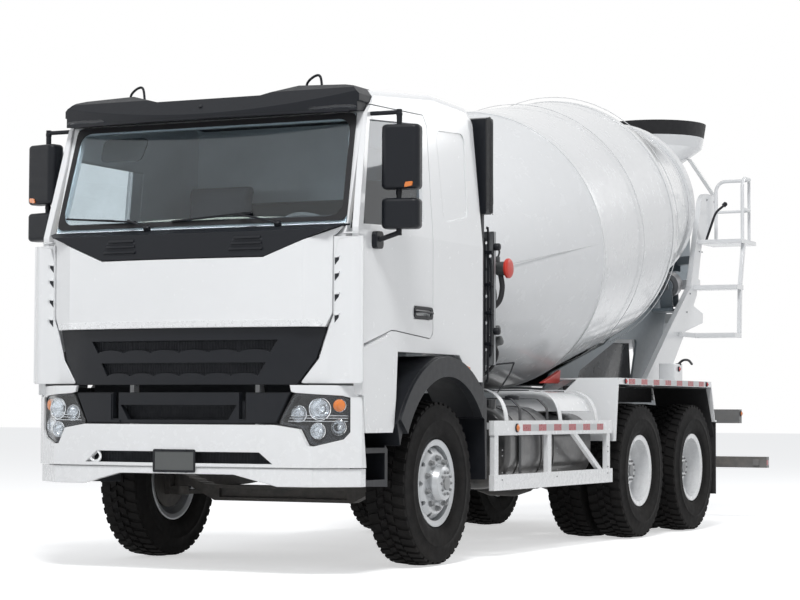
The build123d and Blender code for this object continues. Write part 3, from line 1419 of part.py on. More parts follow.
mouth_s, mouth_z = axis_station(drum_mouth_a)
hopper_s = 9124
hopper_radius = 506
hopper_rim_z = 3766
hopper_band = 104              # height of the upright band below the rim
hopper_cone_radius = 482
throat_s = mouth_s + 130
throat_z = mouth_z + 230
sheet = 8
with BuildPart() as hopper:
    cone_top_z = hopper_rim_z - hopper_band
    for inset, mode in ((0, Mode.ADD), (sheet, Mode.SUBTRACT)):
        if inset:
            # struts from the side plates up to the cone
            for side in (-1, 1):
                with BuildSketch(cross_plane(9030)):
                    with BuildLine():
                        Polyline([(side * 385, 3545), (side * 425, 3545),
                                  (side * 684, support_top_z + fit),
                                  (side * 644, support_top_z + fit)], close=True)
                    make_face()
                extrude(amount=-34)
        with BuildSketch(Plane.XY.offset(cone_top_z)):
            with Locations((0, at(hopper_s))):
                Circle(hopper_cone_radius - inset)
        with BuildSketch(Plane.XY.offset(throat_z)):
            with Locations((0, at(throat_s))):
                Circle(240 - inset)
        loft(mode=mode)
        with BuildSketch(Plane.XY.offset(cone_top_z)):
            with Locations((0, at(hopper_s))):
                Circle(hopper_cone_radius - inset)
        with BuildSketch(Plane.XY.offset(hopper_rim_z)):
            with Locations((0, at(hopper_s))):
                Circle(hopper_radius - inset)
        loft(mode=mode)
save(hopper, "hopper")

collar_height = 140
with BuildPart() as hopper_collar:
    # rubber skirt standing on the rim, a little wider at the top
    with BuildSketch(Plane.XY.offset(hopper_rim_z + fit)):
        with Locations((0, at(hopper_s))):
            Circle(hopper_radius - 2)
    with BuildSketch(Plane.XY.offset(hopper_rim_z + collar_height)):
        with Locations((0, at(hopper_s))):
            Circle(hopper_radius + 20)
    loft()
    with BuildSketch(Plane.XY.offset(hopper_rim_z + fit)):
        with Locations((0, at(hopper_s))):
            Circle(hopper_radius - 12)
    with BuildSketch(Plane.XY.offset(hopper_rim_z + collar_height)):
        with Locations((0, at(hopper_s))):
            Circle(hopper_radius + 10)
    loft(mode=Mode.SUBTRACT)
save(hopper_collar, "hopper_collar")

trough_top_z = 2400
spout_z = 2000
trough_s = (8450, 9040)
trough_half = 440
with BuildPart() as discharge_chute:
    # receiving trough under the drum mouth, closing to a round-cornered spout
    trough_mid = sum(trough_s) / 2
    trough_length = trough_s[1] - trough_s[0]
    for inset, mode in ((0, Mode.ADD), (sheet, Mode.SUBTRACT)):
        with BuildSketch(Plane.XY.offset(trough_top_z)):
            with Locations((0, at(trough_mid))):
                RectangleRounded(2 * (trough_half - inset), trough_length - 2 * inset, 100)
        with BuildSketch(Plane.XY.offset(spout_z)):
            with Locations((0, at(trough_mid + 160))):
                RectangleRounded(360 - 2 * inset, 320 - 2 * inset, 100)
        loft(mode=mode)
    # guard standing round the mouth at the sides and the back
    with BuildSketch(Plane.XY.offset(trough_top_z)):
        with Locations((0, at(trough_mid))):
            RectangleRounded(2 * trough_half, trough_length, 100)
            RectangleRounded(2 * (trough_half - sheet), trough_length - 2 * sheet, 92,
                             mode=Mode.SUBTRACT)
        with Locations((0, at(trough_s[0]))):
            Rectangle(2 * trough_half + 10, 420, mode=Mode.SUBTRACT)
    extrude(amount=480)
    # lugs out to the side plates
    for side in (-1, 1):
        with BuildSketch(Plane.XY.offset(2460)):
            with BuildLine():
                Polyline([(side * (trough_half - 5), at(8570)), (side * support_x, at(8450)),
                          (side * support_x, at(8515)), (side * (trough_half - 5), at(8680))],
                         close=True)
            make_face()
        extrude(amount=80)
save(discharge_chute, "discharge_chute")

swing_s = 9010
swing_z = 1620
swing_reach = 1150
swing_half = 240
with BuildPart() as swing_chute:
    # turntable round the bracket's post, then the trough, parked towards the right
    with BuildSketch(Plane.XY.offset(swing_z)):
        with Locations((0, at(swing_s))):
            Circle(110)
            Circle(40 + fit, mode=Mode.SUBTRACT)
    extrude(amount=60)
    slope = Plane(origin=(150, at(swing_s), swing_z + 240), x_dir=(0, -1, 0),
                  z_dir=(-1, 0, -0.22))
    with BuildSketch(slope):
        with BuildLine():
            ThreePointArc((-swing_half, 110), (0, -120), (swing_half, 110))
            Line((swing_half, 110), (swing_half - 12, 118))
            ThreePointArc((swing_half - 12, 118), (0, -108), (-swing_half + 12, 118))
            Line((-swing_half + 12, 118), (-swing_half, 110))
        make_face()
    extrude(amount=swing_reach)
    # cradle that joins the trough to the turntable
    for x, top in ((-70, 82), (50, 108)):
        with BuildSketch(side_plane(x)):
            with Locations((swing_s, swing_z + (50 + top) / 2)):
                Rectangle(180, top - 50)
        extrude(amount=20)
save(swing_chute, "swing_chute")

# ================================================================ platform, ladder and rear end
with BuildPart() as rear_supports:
    # broad side plates lean back from the frame and stand up beside the drum mouth
    for side in (-1, 1):
        with BuildSketch(side_plane(side * support_x)):
            with BuildLine():
                Polyline([(6700, 1140), (7642, 1827), (8225, 2228), (8384, 2646), (8520, 3000)])
                ThreePointArc((8520, 3000), (8600, 3115), (8740, support_top_z))
                Polyline([(8740, support_top_z), (9077, support_top_z), (9077, 2990), (8640, 2700),
                          (8563, 2644), (8402, 2153), (8091, 1818), (7745, 1520), (7340, 1140),
                          (6700, 1140)])
            make_face()
            # arms back to the cross tubes
            with BuildLine():
                Polyline([(8080, 1800), (8250, 2060), (8590, 1985), (8590, 1895)], close=True)
            make_face()
            with BuildLine():
                Polyline([(8300, 2200), (8400, 2320), (8510, 2305), (8510, 2215)], close=True)
            make_face()
        extrude(amount=side * 50)
        # outrigger from the subframe under the plate's foot
        with BuildSketch(cross_plane(6760)):
            with Locations((side * (rail_outer_x + support_x + 50) / 2, subframe_top_z - 24)):
                Rectangle(support_x + 50 - rail_outer_x, 48)
        extrude(amount=-600)
    # cross tubes behind the drum, the lower one with the swing chute's post
    for station, height in ((8560, 1940), (8475, 2260)):
        with BuildSketch(side_plane(-support_x)):
            with Locations((station, height)):
                Rectangle(70, 90)
        extrude(amount=2 * support_x)
    with BuildSketch(side_plane(-60)):
        with BuildLine():
            Polyline([(8590, 1896), (8590, 1984), (8640, 1960), (8740, swing_z - fit),
                      (swing_s + 60, swing_z - fit), (swing_s + 60, swing_z - 60),
                      (8710, swing_z - 60)], close=True)
        make_face()
    extrude(amount=120)
    with BuildSketch(Plane.XY.offset(swing_z - 30)):
        with Locations((0, at(swing_s))):
            Circle(40)
    extrude(amount=88)
save(rear_supports, "rear_supports")

platform_z = 2650
platform_s = (8450, 8920)
platform_x = (support_x + 50, 1125)
post = 36


def bent_tube(points, bend, radius):
    """Round tube along a route whose corners are bent to one radius."""
    with BuildPart() as tube:
        with BuildLine() as route:
            FilletPolyline(*points, radius=bend)
        with BuildSketch(Plane(origin=route.line @ 0, z_dir=route.line % 0)):
            Circle(radius)
        sweep(path=route.line)
    return tube.part


with BuildPart() as ladder:
    platform_width = platform_x[1] - platform_x[0]
    with BuildSketch(Plane.XY.offset(platform_z)):
        with Locations((sum(platform_x) / 2, at(sum(platform_s) / 2))):
            Rectangle(platform_width - 2 * fit, platform_s[1] - platform_s[0])
    extrude(amount=40)
    # steps between the side plate and an outer stringer
    stringer_x = platform_x[1] - post
    for tread_z, tread_s in ((1740, 8330), (2200, 8400)):
        with BuildSketch(Plane.XY.offset(tread_z)):
            with Locations((sum(platform_x) / 2, at(tread_s))):
                Rectangle(platform_width - 2 * fit, 200)
        extrude(amount=44)
    with BuildSketch(Plane.XY.offset(1740)):
        with Locations((platform_x[0] + fit + 20, at(8100))):
            Rectangle(40, 500)
    extrude(amount=44)
    with BuildSketch(side_plane(stringer_x)):
        with BuildLine():
            Polyline([(8395, 1740), (8431, 1740), (8466, 2240), (8586, platform_z + 20),
                      (8550, platform_z + 20), (8430, 2240)], close=True)
        make_face()
    extrude(amount=post)
    # handrail: bent tube round the rear and outer edges, knee rails and a front post
    rail_r = 17
    inner_x, outer_x = platform_x[0] + 40, platform_x[1] - 30
    front_s, rear_s = platform_s[0] + 120, platform_s[1] - 30
    floor_z = platform_z + 20
    top_z = platform_z + 640
    knee_z = platform_z + 340
    add(bent_tube([(outer_x, at(front_s), floor_z), (outer_x, at(front_s), top_z),
                   (outer_x, at(rear_s), top_z), (inner_x, at(rear_s), top_z),
                   (inner_x, at(rear_s), floor_z)], 100, rail_r))
    add(bent_tube([(outer_x, at(front_s - 6), knee_z), (outer_x, at(rear_s), knee_z),
                   (inner_x - 6, at(rear_s), knee_z)], 100, rail_r - 3))
    with BuildSketch(Plane.XY.offset(floor_z)):
        with Locations((outer_x - 30, at(rear_s - 5))):
            Circle(rail_r - 2)
    extrude(amount=top_z - floor_z)
save(ladder, "ladder_and_platform")

fender_top_z = 1306
fender_inner_x = 700
fender_sheet = 14
with BuildPart() as rear_fenders:
    for side in (-1, 1):
        with BuildSketch(side_plane(side * fender_inner_x)):
            with BuildLine():
                Polyline([(4670, 800), (4740, fender_top_z), (7135, fender_top_z), (7245, 960),
                          (7292, 960), (7292, 945), (7236, 945), (7124, fender_top_z - fender_sheet),
                          (4753, fender_top_z - fender_sheet), (4684, 800)], close=True)
            make_face()
        extrude(amount=side * (body_half_width - fender_inner_x))
        # turned-down outer edge
        with BuildSketch(side_plane(side * (body_half_width - fender_sheet))):
            with BuildLine():
                Polyline([(4747, fender_top_z - 52), (4754, fender_top_z), (7130, fender_top_z),
                          (7146, fender_top_z - 52)], close=True)
            make_face()
        extrude(amount=side * fender_sheet)
        # front plate cut away at its inner top corner
        with BuildSketch(cross_plane(4600)):
            with BuildLine():
                Polyline([(side * 690, 1110), (side * 910, 1320), (side * 690, 1320)], close=True)
            make_face()
        extrude(amount=-230, mode=Mode.SUBTRACT)
        # stays from the subframe
        for station in (4900, 6600):
            with BuildSketch(cross_plane(station)):
                with BuildLine():
                    Polyline([(side * rail_outer_x, subframe_top_z - 90),
                              (side * rail_outer_x, subframe_top_z - 20),
                              (side * (fender_inner_x + 10), fender_top_z - fender_sheet),
                              (side * (fender_inner_x + 100), fender_top_z - fender_sheet)],
                             close=True)
                make_face()
            extrude(amount=-50)
save(rear_fenders, "rear_fenders")

with BuildPart() as mudflaps:
    for side in (-1, 1):
        with BuildSketch(Plane.XY.offset(300)):
            with Locations((side * 915, at(7280))):
                Rectangle(640, 10)
        extrude(amount=945 - fit - 300)
save(mudflaps, "mudflaps")

with BuildPart() as rear_bars:
    # lamp bar bolted across the frame ends and the under-run bar below it
    with BuildSketch(cross_plane(rail_rear_s)):
        with Locations((0, 995)):
            Rectangle(2300, 130)
    extrude(amount=-75)
    with BuildSketch(cross_plane(8990)):
        with Locations((0, 548)):
            Rectangle(2400, 106)
    extrude(amount=-80)
    for side in (-1, 1):
        with BuildSketch(side_plane(side * (rail_outer_x - 70))):
            with BuildLine():
                Polyline([(8000, rail_bottom_z), (8990, 500), (8990, 598), (8250, rail_bottom_z)],
                         close=True)
            make_face()
        extrude(amount=side * 60)
        # lamp bar stays on the frame
        with BuildSketch(cross_plane(8990)):
            with Locations((side * 1100, 548)):
                Rectangle(60, 60)
        extrude(amount=30)
save(rear_bars, "rear_lamp_and_underrun_bars")

guard_s = (2259, 4630)
guard_low_z = 476
guard_top_z = 968
guard_outer_x = 1230
with BuildPart() as side_guards:
    for side in (-1, 1):
        outer = side * guard_outer_x
        for low, high in ((guard_low_z, guard_low_z + 110), (guard_top_z - 105, guard_top_z)):
            with BuildSketch(side_plane(outer)):
                with Locations((sum(guard_s) / 2, (low + high) / 2)):
                    Rectangle(guard_s[1] - guard_s[0], high - low)
            extrude(amount=-side * 40)
        for station in (guard_s[0] + 45, 3300, guard_s[1] - 90):
            with BuildSketch(side_plane(outer - side * 2)):
                with Locations((station, (guard_low_z + guard_top_z) / 2)):
                    Rectangle(70, guard_top_z - guard_low_z - 20)
            extrude(amount=-side * 36)
        with BuildSketch(side_plane(outer - side * 4)):
            with BuildLine():
                Polyline([(3700, guard_top_z - 60), (3790, guard_top_z - 60),
                          (4500, guard_low_z + 60), (4410, guard_low_z + 60)], close=True)
            make_face()
        extrude(amount=-side * 30)
        for station in (2560, 3610, 4560):
            with BuildSketch(cross_plane(station)):
                with Locations((side * (rail_outer_x + guard_outer_x - 35) / 2, guard_top_z - 40)):
                    Rectangle(guard_outer_x - 35 - rail_outer_x, 50)
            extrude(amount=-40)
save(side_guards, "side_guards")

with BuildPart() as air_intake:
    # meshed snorkel behind the cab on its duct, stayed to the frame
    with BuildSketch(side_plane(1000)):
        with BuildLine():
            Polyline([(2200, 2420), (2190, 3090), (2280, 3110), (2320, 3040), (2330, 2500),
                      (2290, 2420)], close=True)
        make_face()
    extrude(amount=190)
    with BuildSketch(Plane.XY.offset(1160)):
        with Locations((1080, at(2260))):
            RectangleRounded(120, 90, 30)
    extrude(amount=1270)
    with BuildSketch(cross_plane(2215)):
        with Locations(((rail_outer_x + 1130) / 2, 1100)):
            Rectangle(1130 - rail_outer_x, 120)
    extrude(amount=-90)
    with BuildSketch(cross_plane(2215)):
        with Locations((rail_outer_x + 12, 1000)):
            Rectangle(24, 200)
    extrude(amount=-90)
save(air_intake, "air_intake")
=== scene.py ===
"""Looks of the concrete mixer truck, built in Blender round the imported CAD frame."""
import json
from math import ceil, cos, pi, radians, sin, sqrt, tan

import bmesh
import bpy
from mathutils import Matrix, Vector


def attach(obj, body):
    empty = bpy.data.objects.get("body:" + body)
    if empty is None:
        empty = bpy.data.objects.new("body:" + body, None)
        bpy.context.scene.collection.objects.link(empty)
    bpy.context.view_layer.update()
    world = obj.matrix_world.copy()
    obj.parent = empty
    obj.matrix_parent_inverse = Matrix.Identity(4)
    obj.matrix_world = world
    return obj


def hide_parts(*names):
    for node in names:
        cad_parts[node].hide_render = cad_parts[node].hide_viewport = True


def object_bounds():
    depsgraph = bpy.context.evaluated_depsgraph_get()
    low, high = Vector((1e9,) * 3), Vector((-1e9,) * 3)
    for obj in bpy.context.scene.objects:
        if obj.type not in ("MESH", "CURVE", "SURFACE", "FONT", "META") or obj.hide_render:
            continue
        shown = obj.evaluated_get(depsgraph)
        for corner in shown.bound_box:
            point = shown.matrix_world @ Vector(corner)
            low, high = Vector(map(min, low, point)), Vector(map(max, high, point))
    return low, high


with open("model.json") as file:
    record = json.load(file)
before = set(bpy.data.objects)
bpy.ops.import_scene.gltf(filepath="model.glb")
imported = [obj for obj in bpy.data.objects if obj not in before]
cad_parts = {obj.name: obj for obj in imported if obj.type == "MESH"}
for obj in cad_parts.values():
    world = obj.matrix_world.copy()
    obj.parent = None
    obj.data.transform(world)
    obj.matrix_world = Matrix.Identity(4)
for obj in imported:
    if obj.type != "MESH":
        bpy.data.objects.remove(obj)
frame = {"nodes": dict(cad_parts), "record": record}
CAD_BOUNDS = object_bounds()
FRONT = CAD_BOUNDS[0][1]          # y of the bumper face
SLOT_OF = {part["node"]: part["material_slot"] for part in frame["record"]["subparts"]}


def at(station):
    """World y of a station, in metres behind the bumper face."""
    return FRONT + station


# ---- camera, lights and floor
CAMERA_PLACE = (7.463, at(-12.165), 1.034)
CAMERA_TURN = (25.79, 2.837, 0.213)      # yaw, pitch and roll in degrees
CAMERA_LENS = 100.7


def place_camera():
    yaw, pitch, roll = (radians(angle) for angle in CAMERA_TURN)
    ahead = Vector((-sin(yaw) * cos(pitch), cos(yaw) * cos(pitch),
                    sin(pitch)))
    right = ahead.cross(Vector((0, 0, 1))).normalized()
    up = right.cross(ahead)
    right_rolled = right * cos(roll) + up * sin(roll)
    up_rolled = up * cos(roll) - right * sin(roll)
    camera = bpy.data.objects.new("camera", bpy.data.cameras.new("camera"))
    camera.data.lens = CAMERA_LENS
    camera.data.sensor_width = 36
    camera.data.clip_end = 200
    turn = Matrix((right_rolled, up_rolled, -ahead)).transposed().to_4x4()
    camera.matrix_world = Matrix.Translation(CAMERA_PLACE) @ turn
    bpy.context.scene.collection.objects.link(camera)
    bpy.context.scene.camera = camera


def area_light(name, place, target, size, energy):
    lamp = bpy.data.objects.new(name, bpy.data.lights.new(name, "AREA"))
    lamp.data.shape = "DISK"
    lamp.data.size = size
    lamp.data.energy = energy
    lamp.location = place
    lamp.rotation_euler = (Vector(target) - Vector(place)).to_track_quat("-Z", "Y").to_euler()
    bpy.context.scene.collection.objects.link(lamp)


def add_node(tree, kind, inputs=(), **settings):
    """A shader node; an input takes a value, a socket, or a node for its first output."""
    node = tree.nodes.new("ShaderNode" + kind)
    for name, value in settings.items():
        setattr(node, name, value)
    for key, value in dict(inputs).items():
        if isinstance(value, bpy.types.Node):
            value = value.outputs[0]
        if isinstance(value, bpy.types.NodeSocket):
            tree.links.new(value, node.inputs[key])
        else:
            node.inputs[key].default_value = value
    return node


def math_node(tree, operation, *values, clamp=False):
    return add_node(tree, "Math", enumerate(values), operation=operation,
                    use_clamp=clamp).outputs[0]


def seen_or_reflected(tree):
    """1 for camera, glossy and transmission rays, 0 for the rays that light the object."""
    path = add_node(tree, "LightPath").outputs
    either = math_node(tree, "MAXIMUM", path["Is Camera Ray"], path["Is Glossy Ray"])
    return math_node(tree, "MAXIMUM", either, path["Is Transmission Ray"])


def light_scene():
    area_light("key", (5, -13, 16), (0, -1, 1.5), 5, 2200)
    area_light("fill", (-13, -12, 6), (0, -2, 1.5), 7, 220)
    area_light("back", (9, 12, 9), (0, 2, 2), 7, 400)
    world = bpy.data.worlds.new("studio")
    world.use_nodes = True
    tree = world.node_tree
    tree.nodes.clear()
    lit = add_node(tree, "Background", {"Color": (0.93, 0.96, 1.0, 1), "Strength": 0.36})
    seen = add_node(tree, "Background", {"Color": (1, 1, 1, 1), "Strength": 1.0})
    mix = add_node(tree, "MixShader", {"Fac": seen_or_reflected(tree), 1: lit, 2: seen})
    add_node(tree, "OutputWorld", {"Surface": mix})
    bpy.context.scene.world = world


def lay_floor(reach=90):
    mesh = bpy.data.meshes.new("floor")
    mesh.from_pydata([(-reach, -reach, 0), (reach, -reach, 0), (reach, reach, 0),
                      (-reach, reach, 0)], [], [(0, 1, 2, 3)])
    floor = bpy.data.objects.new("floor", mesh)
    bpy.context.scene.collection.objects.link(floor)
    material = bpy.data.materials.new("floor")
    material.use_nodes = True
    tree = material.node_tree
    tree.nodes.clear()
    diffuse = add_node(tree, "BsdfDiffuse", {"Color": (0.86, 0.86, 0.86, 1)})
    glow = add_node(tree, "Emission", {"Color": (1, 1, 1, 1), "Strength": 0.55})
    dark = add_node(tree, "Emission", {"Strength": 0.0})
    only_seen = add_node(tree, "MixShader", {"Fac": seen_or_reflected(tree), 1: dark, 2: glow})
    both = add_node(tree, "AddShader", {0: diffuse, 1: only_seen})
    add_node(tree, "OutputMaterial", {"Surface": both})
    mesh.materials.append(material)


place_camera()
light_scene()
lay_floor()
bpy.context.scene.view_settings.view_transform = "Standard"


# ---- materials
def noise_node(tree, coords, scale, detail=4.0, rough=0.55, stretch=None):
    """A noise texture on object coordinates, optionally stretched along one axis."""
    if stretch:
        coords = add_node(tree, "Mapping", {"Scale": stretch, "Vector": coords})
    return add_node(tree, "TexNoise", {"Scale": scale, "Detail": detail, "Roughness": rough,
                                       "Vector": coords}).outputs["Fac"]


def ramp_node(tree, value, stops):
    """A grey ramp over (position, grey) stops."""
    ramp = add_node(tree, "ValToRGB", {"Fac": value})
    for element, (position, grey) in zip(ramp.color_ramp.elements, stops):
        element.position = position
        element.color = (grey, grey, grey, 1)
    return ramp.outputs["Color"]


def mix_colour(tree, factor, first, second, blend="MIX"):
    first, second = ((*c, 1) if isinstance(c, tuple) else c for c in (first, second))
    return add_node(tree, "Mix", {0: factor, 6: first, 7: second}, data_type="RGBA",
                    blend_type=blend).outputs[2]


def spread_node(tree, value, low, high, to_low, to_high):
    """Map a range of a value to another range."""
    return add_node(tree, "MapRange", {"Value": value, "From Min": low, "From Max": high,
                                       "To Min": to_low, "To Max": to_high}).outputs["Result"]


def new_material(name):
    """A material with its node tree, its shader and its object coordinates."""
    material = bpy.data.materials.new(name)
    material.use_nodes = True
    tree = material.node_tree
    return (material, tree, tree.nodes["Principled BSDF"],
            add_node(tree, "TexCoord").outputs["Object"])


def surface(name, base, rough, metallic=0.0, coat=0.0, dust=0.0, dust_low=0.3, dust_high=1.6,
            dust_colour=(0.42, 0.38, 0.33), grain=0.0, grain_scale=600, mottling=0.06,
            mottle_scale=3.0, streaks=0.0, edge=0.004, rough_spread=0.08, spots=0.0,
            edge_wear=0.0, ior=1.5):
    """A painted or moulded surface with mottling, dust, streaks, grain and softened edges."""
    material, tree, shader, coords = new_material(name)
    for socket, value in (("Metallic", metallic), ("Coat Weight", coat), ("Coat Roughness", 0.08),
                          ("IOR", ior)):
        shader.inputs[socket].default_value = value
    cloud = noise_node(tree, coords, mottle_scale, 5.0)
    shade = ramp_node(tree, cloud, [(0.3, 1 - mottling), (0.7, 1.0)])
    colour = mix_colour(tree, 1.0, base, shade, "MULTIPLY")
    roughness = spread_node(tree, noise_node(tree, coords, mottle_scale * 7, 6.0, 0.65), 0.3, 0.7,
                            max(0.02, rough - rough_spread), min(1.0, rough + rough_spread))
    if streaks:
        run = noise_node(tree, coords, 1.0, 6.0, 0.6, stretch=(14, 14, 0.9))
        mask = ramp_node(tree, run, [(0.52, 0.0), (0.74, streaks)])
        colour = mix_colour(tree, mask, colour, dust_colour)
    if spots:
        fleck = noise_node(tree, coords, 55, 3.0, 0.5)
        mask = ramp_node(tree, fleck, [(0.66, 0.0), (0.70, spots)])
        colour = mix_colour(tree, mask, colour, (0.5, 0.49, 0.46))
    if dust:
        height = add_node(tree, "SeparateXYZ", {0: coords}).outputs["Z"]
        cover = spread_node(tree, height, dust_low, dust_high, 1, 0)
        patch = ramp_node(tree, noise_node(tree, coords, 9, 8.0, 0.7), [(0.35, 0.25), (0.68, 1.0)])
        both = math_node(tree, "MULTIPLY", cover, patch)
        amount = math_node(tree, "MULTIPLY", both, dust, clamp=True)
        colour = mix_colour(tree, amount, colour, dust_colour)
        roughness = math_node(tree, "MULTIPLY_ADD", amount, 0.5, roughness, clamp=True)
    if edge_wear:
        pointed = add_node(tree, "NewGeometry").outputs["Pointiness"]
        chips = ramp_node(tree, pointed, [(0.53, 0.0), (0.58, edge_wear)])
        colour = mix_colour(tree, chips, colour, (0.3, 0.3, 0.3))
    tree.links.new(colour, shader.inputs["Base Color"])
    tree.links.new(roughness, shader.inputs["Roughness"])
    normal = None
    if edge:
        normal = add_node(tree, "Bevel", {"Radius": edge}, samples=4)
    if grain:
        height = noise_node(tree, coords, grain_scale, 3.0, 0.6)
        bump = {"Strength": grain, "Distance": 0.002, "Height": height}
        if normal:
            bump["Normal"] = normal
        normal = add_node(tree, "Bump", bump)
    if normal:
        tree.links.new(normal.outputs[0], shader.inputs["Normal"])
    return material


def clear_sheet(name, tint, rough):
    """Glass or clear plastic that lets shadows' light through."""
    material, tree, shader, coords = new_material(name)
    shade = ramp_node(tree, noise_node(tree, coords, 4.0, 6.0), [(0.3, 0.93), (0.7, 1.0)])
    tree.links.new(mix_colour(tree, 1.0, tint, shade, "MULTIPLY"), shader.inputs["Base Color"])
    for socket, value in (("Roughness", rough), ("Transmission Weight", 1.0), ("IOR", 1.45)):
        shader.inputs[socket].default_value = value
    through = add_node(tree, "BsdfTransparent", {"Color": (*[sqrt(c) for c in tint], 1)})
    shadow = add_node(tree, "LightPath").outputs["Is Shadow Ray"]
    mix = add_node(tree, "MixShader", {"Fac": shadow, 1: shader, 2: through})
    tree.links.new(mix.outputs[0], tree.nodes["Material Output"].inputs["Surface"])
    return material


MATERIALS = {name: surface(name, base, rough, **more) for name, base, rough, more in (
    ("cab_white", (0.84, 0.85, 0.86), 0.24, dict(coat=0.7, dust=0.12, dust_low=0.45, dust_high=1.3,
         mottling=0.02, grain=0.02, grain_scale=300, edge=0.008, rough_spread=0.04)),
    ("frame_grey", (0.07, 0.075, 0.08), 0.45, dict(dust=0.55, dust_low=0.2, dust_high=1.6,
         edge_wear=0.4, grain=0.05)),
    ("drum_white", (0.79, 0.80, 0.81), 0.24, dict(coat=0.5, streaks=0.04, mottling=0.05,
         mottle_scale=1.2, edge=0.01, grain=0.01, grain_scale=120)),
    ("stand_bluegrey", (0.22, 0.27, 0.31), 0.45, dict(dust=0.4, dust_low=0.8, dust_high=2.2,
         edge_wear=0.3, spots=0.3)),
    ("axle_black", (0.02, 0.02, 0.021), 0.55, dict(dust=0.3, dust_low=0.1, dust_high=1.2,
         grain=0.15, grain_scale=250, edge=0.006)),
    ("engine_grey", (0.20, 0.21, 0.22), 0.55, dict(dust=0.4, grain=0.15, grain_scale=250)),
    ("tyre_rubber", (0.008, 0.008, 0.0085), 0.80, dict(dust=0.22, dust_low=-0.3, dust_high=1.9,
         dust_colour=(0.08, 0.072, 0.065), grain=0.12, grain_scale=350, edge=0.003,
         rough_spread=0.1, ior=1.22)),
    ("rubber_black", (0.014, 0.014, 0.016), 0.65, dict(dust=0.15, dust_colour=(0.2, 0.19, 0.17),
         grain=0.1, edge=0.004, ior=1.4)),
    ("plastic_black", (0.009, 0.0105, 0.014), 0.42, dict(dust=0.06, dust_low=0.4, dust_high=2.0,
         grain=0.07, grain_scale=500, edge=0.006, dust_colour=(0.12, 0.115, 0.11),
         rough_spread=0.06, ior=1.32)),
    ("plastic_dark", (0.075, 0.08, 0.082), 0.5, dict(dust=0.35, grain=0.05, edge=0.006)),
    ("dash_grey", (0.16, 0.155, 0.15), 0.6, dict(grain=0.12, grain_scale=450)),
    ("seat_cloth", (0.10, 0.10, 0.12), 0.9, dict(grain=0.35, grain_scale=700, edge=0.0)),
    ("roller_steel", (0.35, 0.35, 0.36), 0.35, dict(metallic=0.9, edge=0.004, streaks=0.1)),
    ("chrome", (0.78, 0.79, 0.80), 0.12, dict(metallic=1.0, edge=0.002, rough_spread=0.05,
         mottling=0.03)),
    ("mirror_glass", (0.80, 0.83, 0.86), 0.03, dict(metallic=1.0, edge=0.0, rough_spread=0.01,
         mottling=0.01)),
    ("amber", (0.75, 0.20, 0.02), 0.15, dict(coat=0.8, edge=0.002, rough_spread=0.03)),
    ("red_lens", (0.45, 0.01, 0.015), 0.15, dict(coat=0.8, edge=0.002, rough_spread=0.03)),
    ("red_tape", (0.36, 0.012, 0.025), 0.3, dict(coat=0.4, grain=0.02, grain_scale=300, edge=0.0)),
    ("silver_tape", (0.50, 0.51, 0.52), 0.35, dict(coat=0.4, grain=0.02, grain_scale=300,
         edge=0.0)),
    ("bar_silver", (0.80, 0.81, 0.82), 0.28, dict(metallic=0.25, coat=0.5, edge=0.003,
         mottling=0.02)),
    ("tank_black", (0.030, 0.033, 0.038), 0.32, dict(coat=0.3, dust=0.25, dust_low=0.4,
         dust_high=1.3, edge=0.006)),
    ("red_paint", (0.62, 0.035, 0.02), 0.4, dict(dust=0.2, edge=0.003)),
    ("plate_grey", (0.085, 0.09, 0.09), 0.5, dict(edge=0.003, grain=0.03)),
    ("beige", (0.50, 0.46, 0.37), 0.65, dict(grain=0.15, grain_scale=500, edge=0.004)),
    # near-black matte: real dark trim, and painted shade where it fills slots, gaps and the cab's
    # inside
    ("dark_lining_and_shade", (0.018, 0.02, 0.025), 0.8, dict(grain=0.2, grain_scale=400, edge=0.0)),
    # rim_paint: the front rims' silver-grey, partly their own tone and partly painted shade on
    # white rims
    ("rim_paint", (0.52, 0.54, 0.56), 0.30, dict(metallic=0.35, coat=0.3, dust=0.25, dust_low=0.0,
         dust_high=1.3, edge=0.004, mottling=0.05)),
    ("steel_grey", (0.25, 0.26, 0.27), 0.45, dict(metallic=0.5, edge=0.002, dust=0.2)),
)}
MATERIALS.update({name: clear_sheet(name, tint, rough) for name, tint, rough in (
    ("lamp_clear", (0.93, 0.95, 0.97), 0.03),
    ("screen_glass", (0.66, 0.75, 0.80), 0.02),
    ("side_glass", (0.90, 0.93, 0.94), 0.02),
    # door_glass: the left door's glass, tinted dark as painted shade of the cab's inside; the
    # right door has the clear side_glass
    ("door_glass", (0.16, 0.19, 0.22), 0.02),
)})
MATERIAL_OF = {"windscreen": "screen_glass", "door_glass_left": "door_glass",
               "door_glass_right": "side_glass", "rim_front_left": "rim_paint",
               "rim_front_right": "rim_paint", "side_tanks": "tank_black",
               "exhaust_and_battery_boxes": "tank_black"}
for node_name, node_object in frame["nodes"].items():
    node_object.data.materials.clear()
    node_object.data.materials.append(MATERIALS[MATERIAL_OF.get(node_name, SLOT_OF[node_name])])


# ---- mesh helpers
def point(x, station, z):
    return Vector((x, at(station), z))


def finish_piece(name, bm, body, slot, material=None, replaces=(), bevel=0.0, smooth=38):
    """Turn a bmesh into a piece that rides on a body, in the material named, else in its record
    slot's material.
    """
    bmesh.ops.recalc_face_normals(bm, faces=bm.faces)
    mesh = bpy.data.meshes.new(name)
    bm.to_mesh(mesh)
    bm.free()
    mesh.polygons.foreach_set("use_smooth", [True] * len(mesh.polygons))
    mesh.set_sharp_from_angle(angle=radians(smooth))
    piece = bpy.data.objects.new(name, mesh)
    bpy.context.scene.collection.objects.link(piece)
    mesh.materials.append(MATERIALS[material or slot])
    if bevel:
        round_edges = piece.modifiers.new("round_edges", "BEVEL")
        round_edges.width = bevel
        round_edges.segments = 2
        round_edges.limit_method = "ANGLE"
        round_edges.angle_limit = radians(40)
        round_edges.harden_normals = False
    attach(piece, body)
    if replaces:
        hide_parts(*replaces)
    return piece


